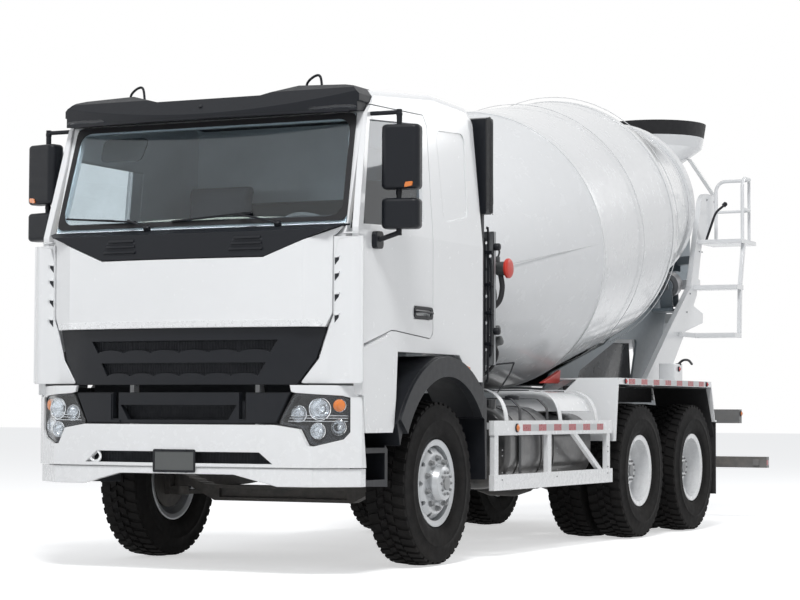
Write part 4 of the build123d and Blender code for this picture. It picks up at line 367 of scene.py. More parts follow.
def prism(bm, outline, place, depth, base=0.0):
    """Extrude a (u, v) outline; place turns (u, v, w) into a world point."""
    low = [bm.verts.new(place(u, v, base)) for u, v in outline]
    high = [bm.verts.new(place(u, v, base + depth)) for u, v in outline]
    bm.faces.new(low)
    bm.faces.new(high[::-1])
    for i in range(len(outline)):
        j = (i + 1) % len(outline)
        bm.faces.new((low[i], low[j], high[j], high[i]))


def block(bm, low, high):
    """Box between two (x, station, z) corners."""
    prism(bm, [(low[0], low[2]), (high[0], low[2]), (high[0], high[2]), (low[0], high[2])],
          lambda u, v, w: point(u, w, v), high[1] - low[1], low[1])


def rounded(points, radius, steps=5):
    """An outline with its corners rounded."""
    out = []
    for i, corner in enumerate(points):
        corner = Vector(corner)
        before, after = Vector(points[i - 1]), Vector(points[(i + 1) % len(points)])
        a, b = before - corner, after - corner
        reach = min(radius / tan(max(0.05, a.angle(b) / 2)), a.length * 0.45, b.length * 0.45)
        start, end = corner + a.normalized() * reach, corner + b.normalized() * reach
        for k in range(steps + 1):
            f = k / steps
            out.append(tuple(start * (1 - f) ** 2 + corner * 2 * f * (1 - f) + end * f * f))
    return out


def oval(centre, half_u, half_v, steps=24):
    return [(centre[0] + half_u * cos(2 * pi * k / steps),
             centre[1] + half_v * sin(2 * pi * k / steps)) for k in range(steps)]


def panel(bm, loops, place, thick, step=0.06, base=0.0):
    """A sheet with holes, sliced along u so that place can bow it; loops are (u, v) rings."""
    edges = []
    for loop in loops:
        verts = [bm.verts.new((u, v, 0)) for u, v in loop]
        edges += [bm.edges.new((verts[i], verts[(i + 1) % len(verts)])) for i in range(len(verts))]
    faces = [f for f in bmesh.ops.triangle_fill(bm, use_beauty=True, edges=edges)["geom"]
             if isinstance(f, bmesh.types.BMFace)]
    us = [u for u, v in loops[0]]
    cut = ceil(min(us) / step) * step
    while cut < max(us):
        geom = dict.fromkeys(faces)
        for face in faces:
            geom.update(dict.fromkeys([*face.edges, *face.verts]))
        result = bmesh.ops.bisect_plane(bm, geom=list(geom), plane_co=(cut, 0, 0),
                                        plane_no=(1, 0, 0))
        faces = [f for f in result["geom"] if isinstance(f, bmesh.types.BMFace)]
        cut += step
    back = bmesh.ops.extrude_face_region(bm, geom=faces)["geom"]
    back_verts = [v for v in back if isinstance(v, bmesh.types.BMVert)]
    front_verts = {v for f in faces for v in f.verts}
    for vert in back_verts:
        vert.co = place(vert.co.x, vert.co.y, base + thick)
    for vert in front_verts:
        vert.co = place(vert.co.x, vert.co.y, base)


def ring_verts(bm, centre, side, other, radius, steps):
    """Vertices round a centre, in the plane of two directions."""
    turns = [2 * pi * k / steps for k in range(steps)]
    return [bm.verts.new(centre + (side * cos(a) + other * sin(a)) * radius)
            for a in turns]


def join_rings(bm, rings):
    for one, two in zip(rings, rings[1:]):
        for k in range(len(one)):
            j = (k + 1) % len(one)
            bm.faces.new((one[k], one[j], two[j], two[k]))


def lathe(bm, profile, origin, axis, steps=64):
    """Revolve a profile of (along, radius) round an axis through origin."""
    axis = Vector(axis).normalized()
    side = axis.orthogonal().normalized()
    other = axis.cross(side)
    rings = []
    for k in range(steps):
        turn = 2 * pi * k / steps
        out = side * cos(turn) + other * sin(turn)
        rings.append([bm.verts.new(Vector(origin) + axis * a + out * r) for a, r in profile])
    join_rings(bm, [*rings, rings[0]])


RIM = 0.85                   # where a head's rim starts to soften


def disc(bm, centre, axis, radius, depth, dome=0.0, steps=24):
    """A low round head with a softened rim, standing out along the axis."""
    centre, axis = Vector(centre), Vector(axis).normalized()
    side = axis.orthogonal().normalized()
    other = axis.cross(side)
    rings = [ring_verts(bm, centre + axis * along, side, other, r, steps) for along, r in (
        (0, radius), (depth * RIM, radius), (depth, radius * RIM),
        (depth + dome * 0.75, radius * 0.5))]
    join_rings(bm, rings)
    tip = bm.verts.new(centre + axis * (depth + dome))
    for k in range(steps):
        bm.faces.new((rings[-1][k], rings[-1][(k + 1) % steps], tip))
    bm.faces.new(rings[0][::-1])


def smooth_path(points, turns=6):
    """Points along a Catmull-Rom curve through the given points."""
    points = [Vector(p) for p in points]
    ends = [points[0] * 2 - points[1], *points, points[-1] * 2 - points[-2]]
    out = []
    for i in range(1, len(ends) - 2):
        a, b, c, d = ends[i - 1:i + 3]
        for k in range(turns):
            f = k / turns
            out.append(0.5 * (2 * b + (c - a) * f + (2 * a - 5 * b + 4 * c - d) * f ** 2
                              + (3 * b - a - 3 * c + d) * f ** 3))
    out.append(points[-1])
    return out


def route(turns, *spots):
    """A smooth path through (x, station, z) spots."""
    return smooth_path([point(*spot) for spot in spots], turns)


def strip(low_half, low, high_half, high):
    """Section of a flat strip: its lower edge, then its upper edge."""
    return [(-low_half, -low), (low_half, -low), (high_half, high), (-high_half, high)]


def rect(left, right, low, high):
    return [(left, low), (right, low), (right, high), (left, high)]


def side_view(u, v, w):
    """Place for outlines drawn in the side view; w runs across the truck."""
    return point(w, u, v)


def side_face(side, x):
    """Place for outlines on a flat side face; w stands out of it."""
    return lambda u, v, w: point(side * (x + w), u, v)


def tube(bm, path, radius=0.0, sides=12, section=None):
    """Sweep a round or given (across, up) section along a path, with closed ends."""
    path = [Vector(p) for p in path]
    section = section or [(radius * cos(2 * pi * k / sides),
                           radius * sin(2 * pi * k / sides)) for k in range(sides)]
    tangent = (path[1] - path[0]).normalized()
    across = tangent.orthogonal().normalized()
    if abs(tangent.z) < 0.9:
        across = tangent.cross(Vector((0, 0, 1))).normalized()
    rings = []
    for i, spot in enumerate(path):
        ahead = path[min(i + 1, len(path) - 1)] - path[max(i - 1, 0)]
        tangent = ahead.normalized()
        across = (across - tangent * across.dot(tangent)).normalized()
        up = across.cross(tangent)
        rings.append([bm.verts.new(spot + across * a + up * b) for a, b in section])
    join_rings(bm, rings)
    bm.faces.new(rings[0][::-1])
    bm.faces.new(rings[-1])


BOW_DEPTH = 0.066


def bow(x, front, half, corner):
    """Station on a bowed front panel: an arc to 0.8 of its half width, then swept corners."""
    shoulder = 0.8 * half
    if abs(x) <= shoulder:
        return front + BOW_DEPTH * (x / shoulder) ** 2
    edge = front + BOW_DEPTH
    return edge + (abs(x) - shoulder) / (half - shoulder) * (corner - edge)


def both_sides():
    return ((1, "left"), (-1, "right"))


# ---- tyres and wheel nuts
HUB_Z = 0.552
FRONT_AXLE, MID_AXLE, REAR_AXLE = 1.471, 5.296, 6.646
FRONT_TYRE_X, TWIN_X = 1.025, (1.095, 0.750)
STUD_CIRCLE = 0.335 / 2      # radius that the wheel nuts sit on
TYRE_SIDE = [(0.107, 0.2632), (0.112, 0.296), (0.127, 0.302), (0.140, 0.325), (0.143, 0.328),
             (0.149, 0.352), (0.154, 0.392), (0.1535, 0.412), (0.1555, 0.416), (0.1555, 0.424),
             (0.152, 0.428), (0.147, 0.462), (0.142, 0.492), (0.143, 0.497), (0.140, 0.522),
             (0.124, 0.531)]
TYRE_PROFILE = [(-0.107, 0.2632), *TYRE_SIDE, (0.0, 0.535),
                *[(-x, r) for x, r in TYRE_SIDE[:0:-1]]]
TREAD_PITCHES = 44
# each row: side distances, their radii, start and filled part of a pitch
TREAD_ROWS = [((0.058, 0.137), (0.547, 0.541), 0.0, 0.66),
              ((0.006, 0.050), (0.552, 0.550), 0.5, 0.62),
              ((-0.050, -0.006), (0.550, 0.552), 0.0, 0.62),
              ((-0.137, -0.058), (0.541, 0.547), 0.5, 0.66)]


def add_tyre(bm, centre_x, station):
    """A traction tyre: ribbed sidewalls and four rows of slanted tread blocks."""
    hub = point(centre_x, station, HUB_Z)
    lathe(bm, TYRE_PROFILE, hub, (1, 0, 0), 88)
    pitch = 2 * pi / TREAD_PITCHES
    for (x0, x1), (r0, r1), shift, fill in TREAD_ROWS:
        for k in range(TREAD_PITCHES):
            start = (k + shift) * pitch
            slant = 0.12 * pitch * (1 if x0 > 0 else -1)
            corners = []
            for x, r, lean in ((x0, r0, -slant), (x1, r1, slant)):
                for turn in (start + lean, start + lean + fill * pitch):
                    for radius, inset in ((r - 0.024, 0.0), (r, 0.03)):
                        a = turn + inset * pitch * (1 if turn == start + lean else -1)
                        corners.append(bm.verts.new(hub + Vector(
                            (x, radius * cos(a), radius * sin(a)))))
            a0, a1, b0, b1, c0, c1, d0, d1 = corners
            for quad in ((a1, b1, d1, c1), (a0, a1, c1, c0), (b0, d0, d1, b1), (a0, b0, b1, a1),
                         (c0, c1, d1, d0)):
                bm.faces.new(quad)


def hex_nut(bm, centre, axis, across, height):
    """Hexagon nut with a washer and the stud standing out of it."""
    centre, axis = Vector(centre), Vector(axis)
    side = Vector((0, 1, 0)) if abs(axis.x) > 0.5 else Vector((1, 0, 0))
    other = axis.cross(side)
    disc(bm, centre, axis, across * 0.66, height * 0.18, steps=14)
    rings = [ring_verts(bm, centre + axis * height * along, side, other, across * wide, 6)
             for along, wide in ((0.1, 0.56), (0.9, 0.56), (1.0, 0.48))]
    join_rings(bm, rings)
    bm.faces.new(rings[-1])
    disc(bm, centre + axis * height * 0.95, axis, across * 0.3, height * 0.35, steps=10)


def add_wheel_details(name, side, centre_x, station, body, nut_face, hub_face, hub_r):
    """Nuts on the stud circle, bolts round the hub end and a cap over the hub."""
    axis = (side, 0, 0)
    bm = bmesh.new()
    for face, radius, shift, across, height in ((nut_face, STUD_CIRCLE, 0.5, 0.033, 0.026),
                                                (hub_face, hub_r, 0, 0.017, 0.011)):
        for k in range(10):
            turn = 2 * pi * (k + shift) / 10
            hex_nut(bm, point(side * (centre_x + face), station, HUB_Z) + Vector(
                (0, radius * cos(turn), radius * sin(turn))), axis, across, height)
    disc(bm, point(side * (centre_x + hub_face), station, HUB_Z), axis, hub_r * 0.62, 0.012,
         dome=0.004, steps=32)
    finish_piece(f"nuts_{name}", bm, body, "roller_steel", "steel_grey", smooth=30)


for side, tag in both_sides():
    bm = bmesh.new()
    add_tyre(bm, side * FRONT_TYRE_X, FRONT_AXLE)
    finish_piece(f"tread_tyre_front_{tag}", bm, f"wheel_front_{tag}", "tyre_rubber",
                 replaces=[f"tyre_front_{tag}"])
    add_wheel_details(f"front_{tag}", side, FRONT_TYRE_X, FRONT_AXLE, f"wheel_front_{tag}",
                      0.126, 0.196, 0.074)
    for row, station in (("mid", MID_AXLE), ("rear", REAR_AXLE)):
        bm = bmesh.new()
        for x in TWIN_X:
            add_tyre(bm, side * x, station)
        finish_piece(f"tread_tyres_{row}_{tag}", bm, f"wheels_{row}_{tag}", "tyre_rubber",
                     replaces=[f"tyres_{row}_{tag}"])
        add_wheel_details(f"{row}_{tag}", side, TWIN_X[0], station, f"wheels_{row}_{tag}",
                          -0.084, 0.044, 0.078)


# ---- grille and front panel trim
def front_place(front, half, corner):
    """Place for panels that follow a bowed front; w runs to the rear."""
    return lambda u, v, w: point(u, bow(u, front, half, corner) + w, v)


BUMPS, WAVE_STEPS = 6, 60


def wavy_slot(half_top, half_low, top, low):
    """Air slot whose lower edge has rounded bumps."""
    ring = [(half_top, top), (-half_top, top), (-half_low, low)]
    for k in range(1, WAVE_STEPS):
        x = -half_low + 2 * half_low * k / WAVE_STEPS
        ring.append((x, low + 0.020 * abs(sin(pi * BUMPS * k / WAVE_STEPS)) ** 0.7))
    return ring + [(half_low, low)]


grille_place = front_place(0.046, 1.0, 0.190)
bm = bmesh.new()
panel(bm,
      [[(-0.988, 1.5555), (0.988, 1.5555), (0.930, 1.36), (0.815, 1.195), (-0.815, 1.195),
        (-0.930, 1.36)], wavy_slot(0.69, 0.64, 1.476, 1.398), wavy_slot(0.61, 0.56, 1.334, 1.250)],
      grille_place, 0.022)
finish_piece("grille_surround", bm, "nose", "plastic_black", replaces=["grille"], bevel=0.004)

WIRE = 0.003                 # wire and sheet thickness of the mesh behind the slots


def wire_mesh(bm, half, low, high, station, pitch, first_row, row_gap, back_gap, margin):
    """Fine mesh behind a slot, in front of a dark backing sheet that is painted shade in the slot;
    station gives its place at x.
    """
    x = -half
    while x < half:
        block(bm, (x, station(x), low), (x + WIRE, station(x) + WIRE, high))
        x += pitch
    z = low + first_row
    while z < high:
        panel(bm, [rect(-half, half, z, z + WIRE)],
              lambda u, v, w: point(u, station(u) + row_gap + w, v), WIRE, 0.2)
        z += pitch
    # the backing: a dark sheet as painted shade behind the mesh
    panel(bm, [rect(-half - margin, half + margin, low - 0.02, high + 0.02)],
          lambda u, v, w: point(u, station(u) + back_gap + w, v), WIRE, 0.1)


# grille mesh on its dark backing of painted shade
bm = bmesh.new()
for half, low, high in ((0.70, 1.385, 1.49), (0.62, 1.238, 1.348)):
    wire_mesh(bm, half, low, high, lambda x: bow(x, 0.046, 1.0, 0.190) + 0.030, 0.02, 0.0,
              0.003, 0.010, 0.02)
finish_piece("grille_mesh", bm, "nose", "plastic_black", "dark_lining_and_shade")

bm = bmesh.new()
bar_place = front_place(0.022, 1.087, 0.196)
panel(bm, [[(-0.978, 1.576), (-0.955, 1.600), (0.955, 1.600), (0.978, 1.576), (0.966, 1.559),
            (-0.966, 1.559)]], bar_place, 0.010)
finish_piece("grille_bar", bm, "nose", "roller_steel", "bar_silver", bevel=0.003)


def cowl_station(z):
    return 0.076 + (z - 2.002) * 0.258


# hooded louvres of the cowl
LOUVRE_ROWS = ((-0.60, -0.36), (0.34, 0.58))
bm = bmesh.new()
for x0, x1 in LOUVRE_ROWS:
    for k in range(3):
        z = 2.045 + k * 0.036
        s = cowl_station(z)
        lean = 0.012 * k
        prism(bm,
              [(s + 0.002, z + 0.020), (s - 0.012, z + 0.004), (s - 0.010, z),
               (s + 0.004, z + 0.006)], side_view, x1 - x0 - 2 * lean, x0 + lean)
finish_piece("cowl_louvres", bm, "nose", "plastic_black", bevel=0.002)
# dark slots under the louvres: painted shade in their openings
bm = bmesh.new()
for x0, x1 in LOUVRE_ROWS:
    for k in range(3):
        z = 2.035 + k * 0.036
        s = cowl_station(z)
        prism(bm,
              [(s - 0.0015, z), (s + 0.001, z + 0.011), (s + 0.006, z + 0.011), (s + 0.004, z)],
              side_view, x1 - x0 - 0.02, x0 + 0.01)
finish_piece("cowl_slots", bm, "nose", "plastic_black", "dark_lining_and_shade")

# ---- windscreen, wipers and inside
SCREEN_FOOT = (0.2525, 2.205)            # station and height of the windscreen's lower edge
SCREEN_SLOPE = 0.2869
CAB_LEAN = 0.067                         # how far the cab's side leans in, per metre


def on_screen(z, lift=0.0):
    """Station of the windscreen's outer face at a height, lifted off it."""
    return SCREEN_FOOT[0] + SCREEN_SLOPE * (z - SCREEN_FOOT[1]) - lift


def screen_place(lift):
    return lambda u, v, w: point(u, on_screen(v, lift) + w, v)


glass_ring = rounded([(-1.050, 2.256), (1.050, 2.256), (1.018, 2.892), (-1.018, 2.892)], 0.10, 8)
bm = bmesh.new()
panel(bm, [rounded([(-1.086, 2.226), (1.086, 2.226), (1.054, 2.93), (-1.054, 2.93)], 0.05, 4),
           glass_ring], screen_place(0.004), 0.0035, 0.2)
finish_piece("screen_gasket", bm, "cab", "rubber_black", bevel=0.0015)
bm = bmesh.new()
panel(bm, [[(-1.084, 2.206), (1.084, 2.206), (1.078, 2.262), (-1.078, 2.262)]],
      screen_place(-0.010), 0.002, 0.2)
finish_piece("screen_lower_band", bm, "cab", "rubber_black", "dark_lining_and_shade")

WIPERS = (("right", -0.353, (-0.518, 2.276), ((-1.015, 2.300), (-0.47, 2.262))),
          ("left", 0.618, (0.32, 2.285), ((-0.187, 2.258), (0.40, 2.296))))
for tag, pivot_x, knee, blade in WIPERS:
    bm = bmesh.new()
    base = point(pivot_x, 0.222, 2.203)
    disc(bm, base, (0, -0.45, 0.9), 0.024, 0.03, dome=0.006, steps=20)
    joint = point(pivot_x - 0.02, 0.217, 2.222)
    tip = point(knee[0], on_screen(knee[1], 0.030), knee[1])
    tube(bm,
         smooth_path([base + Vector((0, -0.01, 0.022)), joint, (joint + tip) / 2
                      + Vector((0, -0.008, 0.004)), tip], 5),
         section=strip(0.009, 0.005, 0.007, 0.006))
    ends = [point(x, on_screen(z, 0.016), z) for x, z in blade]
    middle = (ends[0] + ends[1]) / 2
    tube(bm,
         smooth_path([ends[0], ends[0].lerp(middle, 0.5) + Vector((0, -0.008, 0)),
                      tip.lerp(middle, 0.6) + Vector((0, -0.004, 0)), ends[1].lerp(middle, 0.5)
                      + Vector((0, -0.008, 0)), ends[1]], 5),
         section=strip(0.006, 0.004, 0.004, 0.006))
    tube(bm, [ends[0] + Vector((0, 0.010, 0)), middle + Vector((0, 0.010, 0)),
              ends[1] + Vector((0, 0.010, 0))], section=strip(0.006, 0.004, 0.0025, 0.009))
    finish_piece(f"wiper_{tag}", bm, "cab", "plastic_black")

# dark lining on the rear wall, roof and floor: dark trim, made near-black as painted shade of the
# cab's inside; beige pillars and dash edge, sun visor
bm = bmesh.new()
panel(bm, [rounded([(-1.05, 1.62), (1.05, 1.62), (1.03, 3.02), (-1.03, 3.02)], 0.08)],
      lambda u, v, w: point(u, 2.10 + w, v), 0.012, 0.4)
prism(bm, [(0.66, 3.028), (1.5, 3.105), (2.06, 3.095), (2.06, 3.085), (1.5, 3.095), (0.66, 3.018)],
      side_view, 2.02, -1.01)
prism(bm, rect(0.44, 2.08, 1.612, 1.618),
      side_view, 2.10, -1.05)
finish_piece("cab_lining", bm, "cab", "dash_grey", "dark_lining_and_shade")
bm = bmesh.new()
for side in (1, -1):
    prism(bm,
          [(0.305, 2.23), (0.50, 2.90), (0.60, 3.00), (0.66, 3.00), (0.56, 2.87), (0.39, 2.23)],
          lambda u, v, w: point(side * (w - (v - 2.18) * CAB_LEAN), u, v), 0.012, 1.112)
tube(bm,
     route(8, (-1.04, 0.60, 2.235), (-0.55, 0.42, 2.262), (0, 0.36, 2.268), (0.55, 0.42, 2.262),
           (1.04, 0.60, 2.235)), section=strip(0.035, 0.012, 0.028, 0.012))
finish_piece("pillar_trim", bm, "cab", "dash_grey", "beige", bevel=0.003)
bm = bmesh.new()
panel(bm, [rounded([(-0.92, 2.70), (-0.60, 2.70), (-0.56, 2.86), (-0.92, 2.86)], 0.05)],
      lambda u, v, w: point(u, 0.52 + (v - 2.70) * 0.3 + w, v), 0.014, 0.2)
finish_piece("sun_visor", bm, "cab", "dash_grey", "plastic_dark", bevel=0.004)


# ---- visor, its lamps and the roof eyes
def visor_bow(x):
    return 0.078 * (x / 1.115) ** 2


bm = bmesh.new()
for x, z in ((-0.90, 3.03), (-0.45, 3.015), (-0.03, 3.012), (0.45, 3.015), (0.90, 3.03),
             (-0.70, 3.09), (0.70, 3.09)):
    s = 0.300 + 0.095 * (z - 2.96) / 0.125 + visor_bow(x)
    if z > 3.05:
        s += 0.004
    disc(bm, point(x, s - 0.001, z), (0, -0.8, 0.6), 0.013, 0.006, dome=0.003, steps=16)
tube(bm, [point(x / 20, 0.2965 + visor_bow(x / 20), 2.931) for x in range(-21, 22)],
     section=rect(-0.004, 0.006, -0.006, 0.006))
finish_piece("visor_fasteners", bm, "cab", "plastic_black")
for side, tag in both_sides():
    bm = bmesh.new()
    lens = [(0.76, 2.947), (0.84, 2.985), (0.93, 3.005), (1.085, 3.010), (1.095, 2.952)]
    panel(bm, [[(side * x, z) for x, z in lens]],
          lambda u, v, w: point(u, 0.292 + visor_bow(u) + max(0.0, v - 2.96) * 0.70 + w, v), 0.008,
          0.05)
    finish_piece(f"visor_lamp_{tag}", bm, "cab", "lamp_clear", bevel=0.002)
    bm = bmesh.new()
    for k in range(7):
        x = side * (0.80 + 0.045 * k)
        z0, z1 = 2.955, min(3.002, 2.962 + 0.03 * k)
        s = 0.2985 + visor_bow(x)
        prism(bm, rect(x - 0.018, x + 0.018, z0, z1),
              lambda u, v, w: point(u, s + (v - 2.955) * 0.66 + w + abs(u - x) * 0.5, v), 0.004,
              -0.001)
    finish_piece(f"visor_reflector_{tag}", bm, "cab", "roller_steel", "chrome")
    bm = bmesh.new()
    eye = point(side * 0.676, 0.60, 3.10)
    tube(bm, smooth_path([eye + Vector((-0.075, 0.02, 0.0)), eye + Vector((-0.06, 0.01, 0.065)),
                          eye + Vector((0.0, 0, 0.104)), eye + Vector((0.04, 0, 0.096)),
                          eye + Vector((0.055, 0, 0.0))], 6), 0.0085, 10)
    finish_piece(f"lifting_eye_{tag}", bm, "cab", "plastic_black")

# ---- headlights and bumper
LAMP_OUTLINE = [(0.712, 0.950), (0.868, 0.926), (0.925, 0.824), (0.962, 0.818), (1.108, 0.862),
                (1.138, 0.905), (1.132, 1.104), (1.100, 1.122), (0.832, 1.140), (0.815, 1.128)]
LENS_PLAN = [(0.60, 0.056), (0.69, 0.062), (0.97, 0.095), (1.145, 0.235), (1.30, 0.36)]
LAMP_BOWLS = [(0.972, 1.043, 0.072, "chrome"), (0.838, 1.013, 0.054, "chrome"),
              (0.963, 0.907, 0.052, "chrome"), (1.067, 0.930, 0.050, "chrome"),
              (1.072, 1.066, 0.042, "amber")]


def station_on(plan, x):
    """Station of a (side distance, station) plan at a side distance."""
    for (x0, s0), (x1, s1) in zip(plan, plan[1:]):
        if x <= x1:
            return s0 + (s1 - s0) * (x - x0) / (x1 - x0)
    return plan[-1][1]


def lens_station(x):
    return station_on(LENS_PLAN, abs(x))


def lamp_way(side, x):
    """Way that a bowl faces: between the lens's own normal and straight ahead."""
    slope = lens_station(x + 0.01) - lens_station(x - 0.01)
    normal = Vector((slope, -0.02, 0)).normalized()
    return Vector((normal.x * side, normal.y - 1.6, 0)).normalized()


for side, tag in both_sides():
    def lens_place(u, v, w):
        return point(side * u, lens_station(u) + w, v)

    outline = rounded(LAMP_OUTLINE, 0.022, 4)
    inner = rounded([(0.728, 0.957), (0.880, 0.938), (0.935, 0.836), (0.962, 0.831),
                     (1.098, 0.871), (1.125, 0.909), (1.120, 1.095), (1.095, 1.109),
                     (0.836, 1.126), (0.824, 1.118)], 0.018, 4)
    bm = bmesh.new()
    panel(bm, [outline], lens_place, 0.004, 0.02, 0.009)
    finish_piece(f"lamp_lens_{tag}", bm, "chassis", "lamp_clear", replaces=["headlights"],
                 bevel=0.001)
    bm = bmesh.new()
    panel(bm, [outline, inner], lens_place, 0.080, 0.02, 0.0145)
    panel(bm, [inner], lens_place, 0.006, 0.02, 0.082)
    finish_piece(f"lamp_housing_{tag}", bm, "chassis", "plastic_black", "dark_lining_and_shade", bevel=0.002)
    bm = bmesh.new()
    # stepped reflector field between the bowls
    for z in (0.985, 0.966, 1.000):
        panel(bm, [[(0.765 + (z - 0.966) * 0.5, z), (1.115, z), (1.115, z + 0.004),
                    (0.767 + (z - 0.966) * 0.5, z + 0.004)]], lens_place, 0.05, 0.02, 0.03)
    for x, z, r, kind in LAMP_BOWLS:
        way = lamp_way(side, x)
        middle = point(side * x, lens_station(x) + 0.020 + r * 0.25, z)
        lathe(bm, [(0.004, r), (0.006, r * 0.94), (-0.010, r * 0.86), (-0.030, r * 0.62),
                   (-0.038, r * 0.30), (-0.041, r * 0.30), (-0.034, r * 0.70), (-0.010, r * 0.97)],
              middle, way, 40)
        if kind == "chrome":
            disc(bm, middle - way * 0.036, way, r * 0.26, 0.020, dome=0.008, steps=20)
    finish_piece(f"lamp_bowls_{tag}", bm, "chassis", "roller_steel", "chrome", smooth=50)
    bm = bmesh.new()
    x, z, r = LAMP_BOWLS[4][:3]
    disc(bm, point(side * x, lens_station(x) + 0.028, z), lamp_way(side, x), r * 0.92, 0.012,
         dome=0.012, steps=28)
    finish_piece(f"indicator_{tag}", bm, "chassis", "lamp_clear", "amber")
    bm = bmesh.new()
    for x, z, r, _ in LAMP_BOWLS[:4]:
        disc(bm, point(side * x, lens_station(x) + 0.014 + r * 0.2, z), lamp_way(side, x),
             r * 0.80, 0.006, dome=0.012, steps=28)
    finish_piece(f"lamp_glasses_{tag}", bm, "chassis", "lamp_clear")
    # bonnet of the lamp and its outer cheek
    bm = bmesh.new()
    panel(bm, [[(0.800, 1.150), (0.830, 1.143), (1.098, 1.126), (1.150, 1.108), (1.176, 1.118),
                (1.170, 1.190), (0.790, 1.192)]],
          lambda u, v, w: point(side * u, lens_station(u) - 0.004 + w, v), 0.03, 0.03)
    finish_piece(f"lamp_brow_{tag}", bm, "chassis", "cab_white", bevel=0.005)
    bm = bmesh.new()
    gasket = [(x + (0.006 if x > 0.93 else -0.006), z + (0.006 if z > 1.0 else -0.006))
              for x, z in LAMP_OUTLINE]
    panel(bm, [rounded(gasket, 0.026, 4), outline], lens_place, 0.012, 0.02, 0.008)
    finish_piece(f"lamp_gasket_{tag}", bm, "chassis", "rubber_black")

# mesh behind both bumper slots on a dark backing of painted shade, blank plate with its clips
bm = bmesh.new()
for half, low, high, front in ((0.64, 0.695, 0.778, 0.075), (0.42, 0.968, 1.072, 0.090)):
    wire_mesh(bm, half, low, high, lambda x: front + 0.05 * x * x, 0.022, 0.004,
              0.0, 0.012, 0.03)
finish_piece("bumper_mesh", bm, "chassis", "plastic_black", "dark_lining_and_shade")


def plate_place(proud):
    """Place on the bumper's bowed face, standing proud of it."""
    return lambda u, v, w: point(u, -proud + BOW_DEPTH * (u / 0.96) ** 2 + w, v)


bm = bmesh.new()
panel(bm, [rounded(rect(-0.149, 0.149, 0.648, 0.778), 0.012, 3)],
      plate_place(0.002), 0.003, 0.1)
finish_piece("blank_plate", bm, "chassis", "frame_grey", "plate_grey", bevel=0.001)
bm = bmesh.new()
panel(bm, [rounded(rect(-0.156, 0.156, 0.640, 0.786), 0.012, 3),
           rect(-0.143, 0.143, 0.655, 0.771)],
      plate_place(0.005), 0.006, 0.1)
for x in (-0.09, 0.09):
    for z in (0.646, 0.780):
        disc(bm, point(x, -0.003, z), (0, -1, 0), 0.007, 0.004, dome=0.002, steps=12)
finish_piece("plate_frame", bm, "chassis", "plastic_black")

bm = bmesh.new()
# towing eye in the end of the lower slot
lathe(bm, [(0.012 * cos(a), 0.034 + 0.012 * sin(a))
           for a in (2 * pi * k / 12 for k in range(12))],
      point(-0.63, 0.062, 0.738), (0.25, -1, 0.0), 32)
finish_piece("towing_eye", bm, "chassis", "roller_steel", "chrome", smooth=60)

# slanted wings of the bumper's middle
bm = bmesh.new()
for side in (1, -1):
    # stops short of the slot that the cab's tilt arm swings out through
    ring = [(0.502, 1.140), (0.785, 1.140), (0.700, 0.957), (0.428, 0.953), (0.436, 0.970),
            (0.502, 0.970)]
    panel(bm, [rounded([(side * x, z) for x, z in ring], 0.006, 2)],
          lambda u, v, w: point(u, bow(u, 0.014, 1.0, 0.182) + w, v), 0.012, 0.05)
finish_piece("bumper_wings", bm, "chassis", "plastic_black", bevel=0.004)

# ---- fairings, handles, cab side
SKIN_PLAN = [(0.80, 0.122), (0.93, 0.158), (1.00, 0.176), (1.06, 0.1735), (1.17, 0.1735),
             (1.228, 0.222)]


for side, tag in both_sides():
    bm = bmesh.new()
    panel(bm,
          [rounded([(0.832, 1.203), (0.948, 1.358), (1.008, 1.553), (1.046, 1.640), (1.046, 2.000),
                    (1.075, 2.100), (1.226, 2.118), (1.226, 1.203)], 0.012, 3)],
          lambda u, v, w: point(side * u, station_on(SKIN_PLAN, u) + w, v), 0.004, 0.02)
    finish_piece(f"fairing_skin_{tag}", bm, "cab", "cab_white", bevel=0.002)
bm = bmesh.new()
# dark sheet in the gap under the grille: painted shade, standing for the radiator side in shadow
# behind it
block(bm, (-0.80, 0.300, 1.08), (0.80, 0.304, 1.30))
finish_piece("radiator_shade_sheet", bm, "chassis", "plastic_black", "dark_lining_and_shade")

# the dark slots between the fairing louvres are painted shade in their openings
bm = bmesh.new()
slots = bmesh.new()
for side in (1, -1):
    for z in (1.95, 1.85, 1.72, 1.59):
        prism(slots,
              [(1.050, z - 0.010), (1.078, z + 0.022), (1.080, z + 0.040), (1.050, z + 0.034)],
              lambda u, v, w: point(side * u, 0.1722 + w, v), 0.010)
        prism(bm, [(1.048, z + 0.034), (1.082, z + 0.038), (1.088, z + 0.050), (1.048, z + 0.046)],
              lambda u, v, w: point(side * u, 0.160 + w, v), 0.016)
finish_piece("fairing_louvres", bm, "cab", "cab_white", bevel=0.002)
finish_piece("fairing_slots", slots, "cab", "plastic_black", "dark_lining_and_shade")

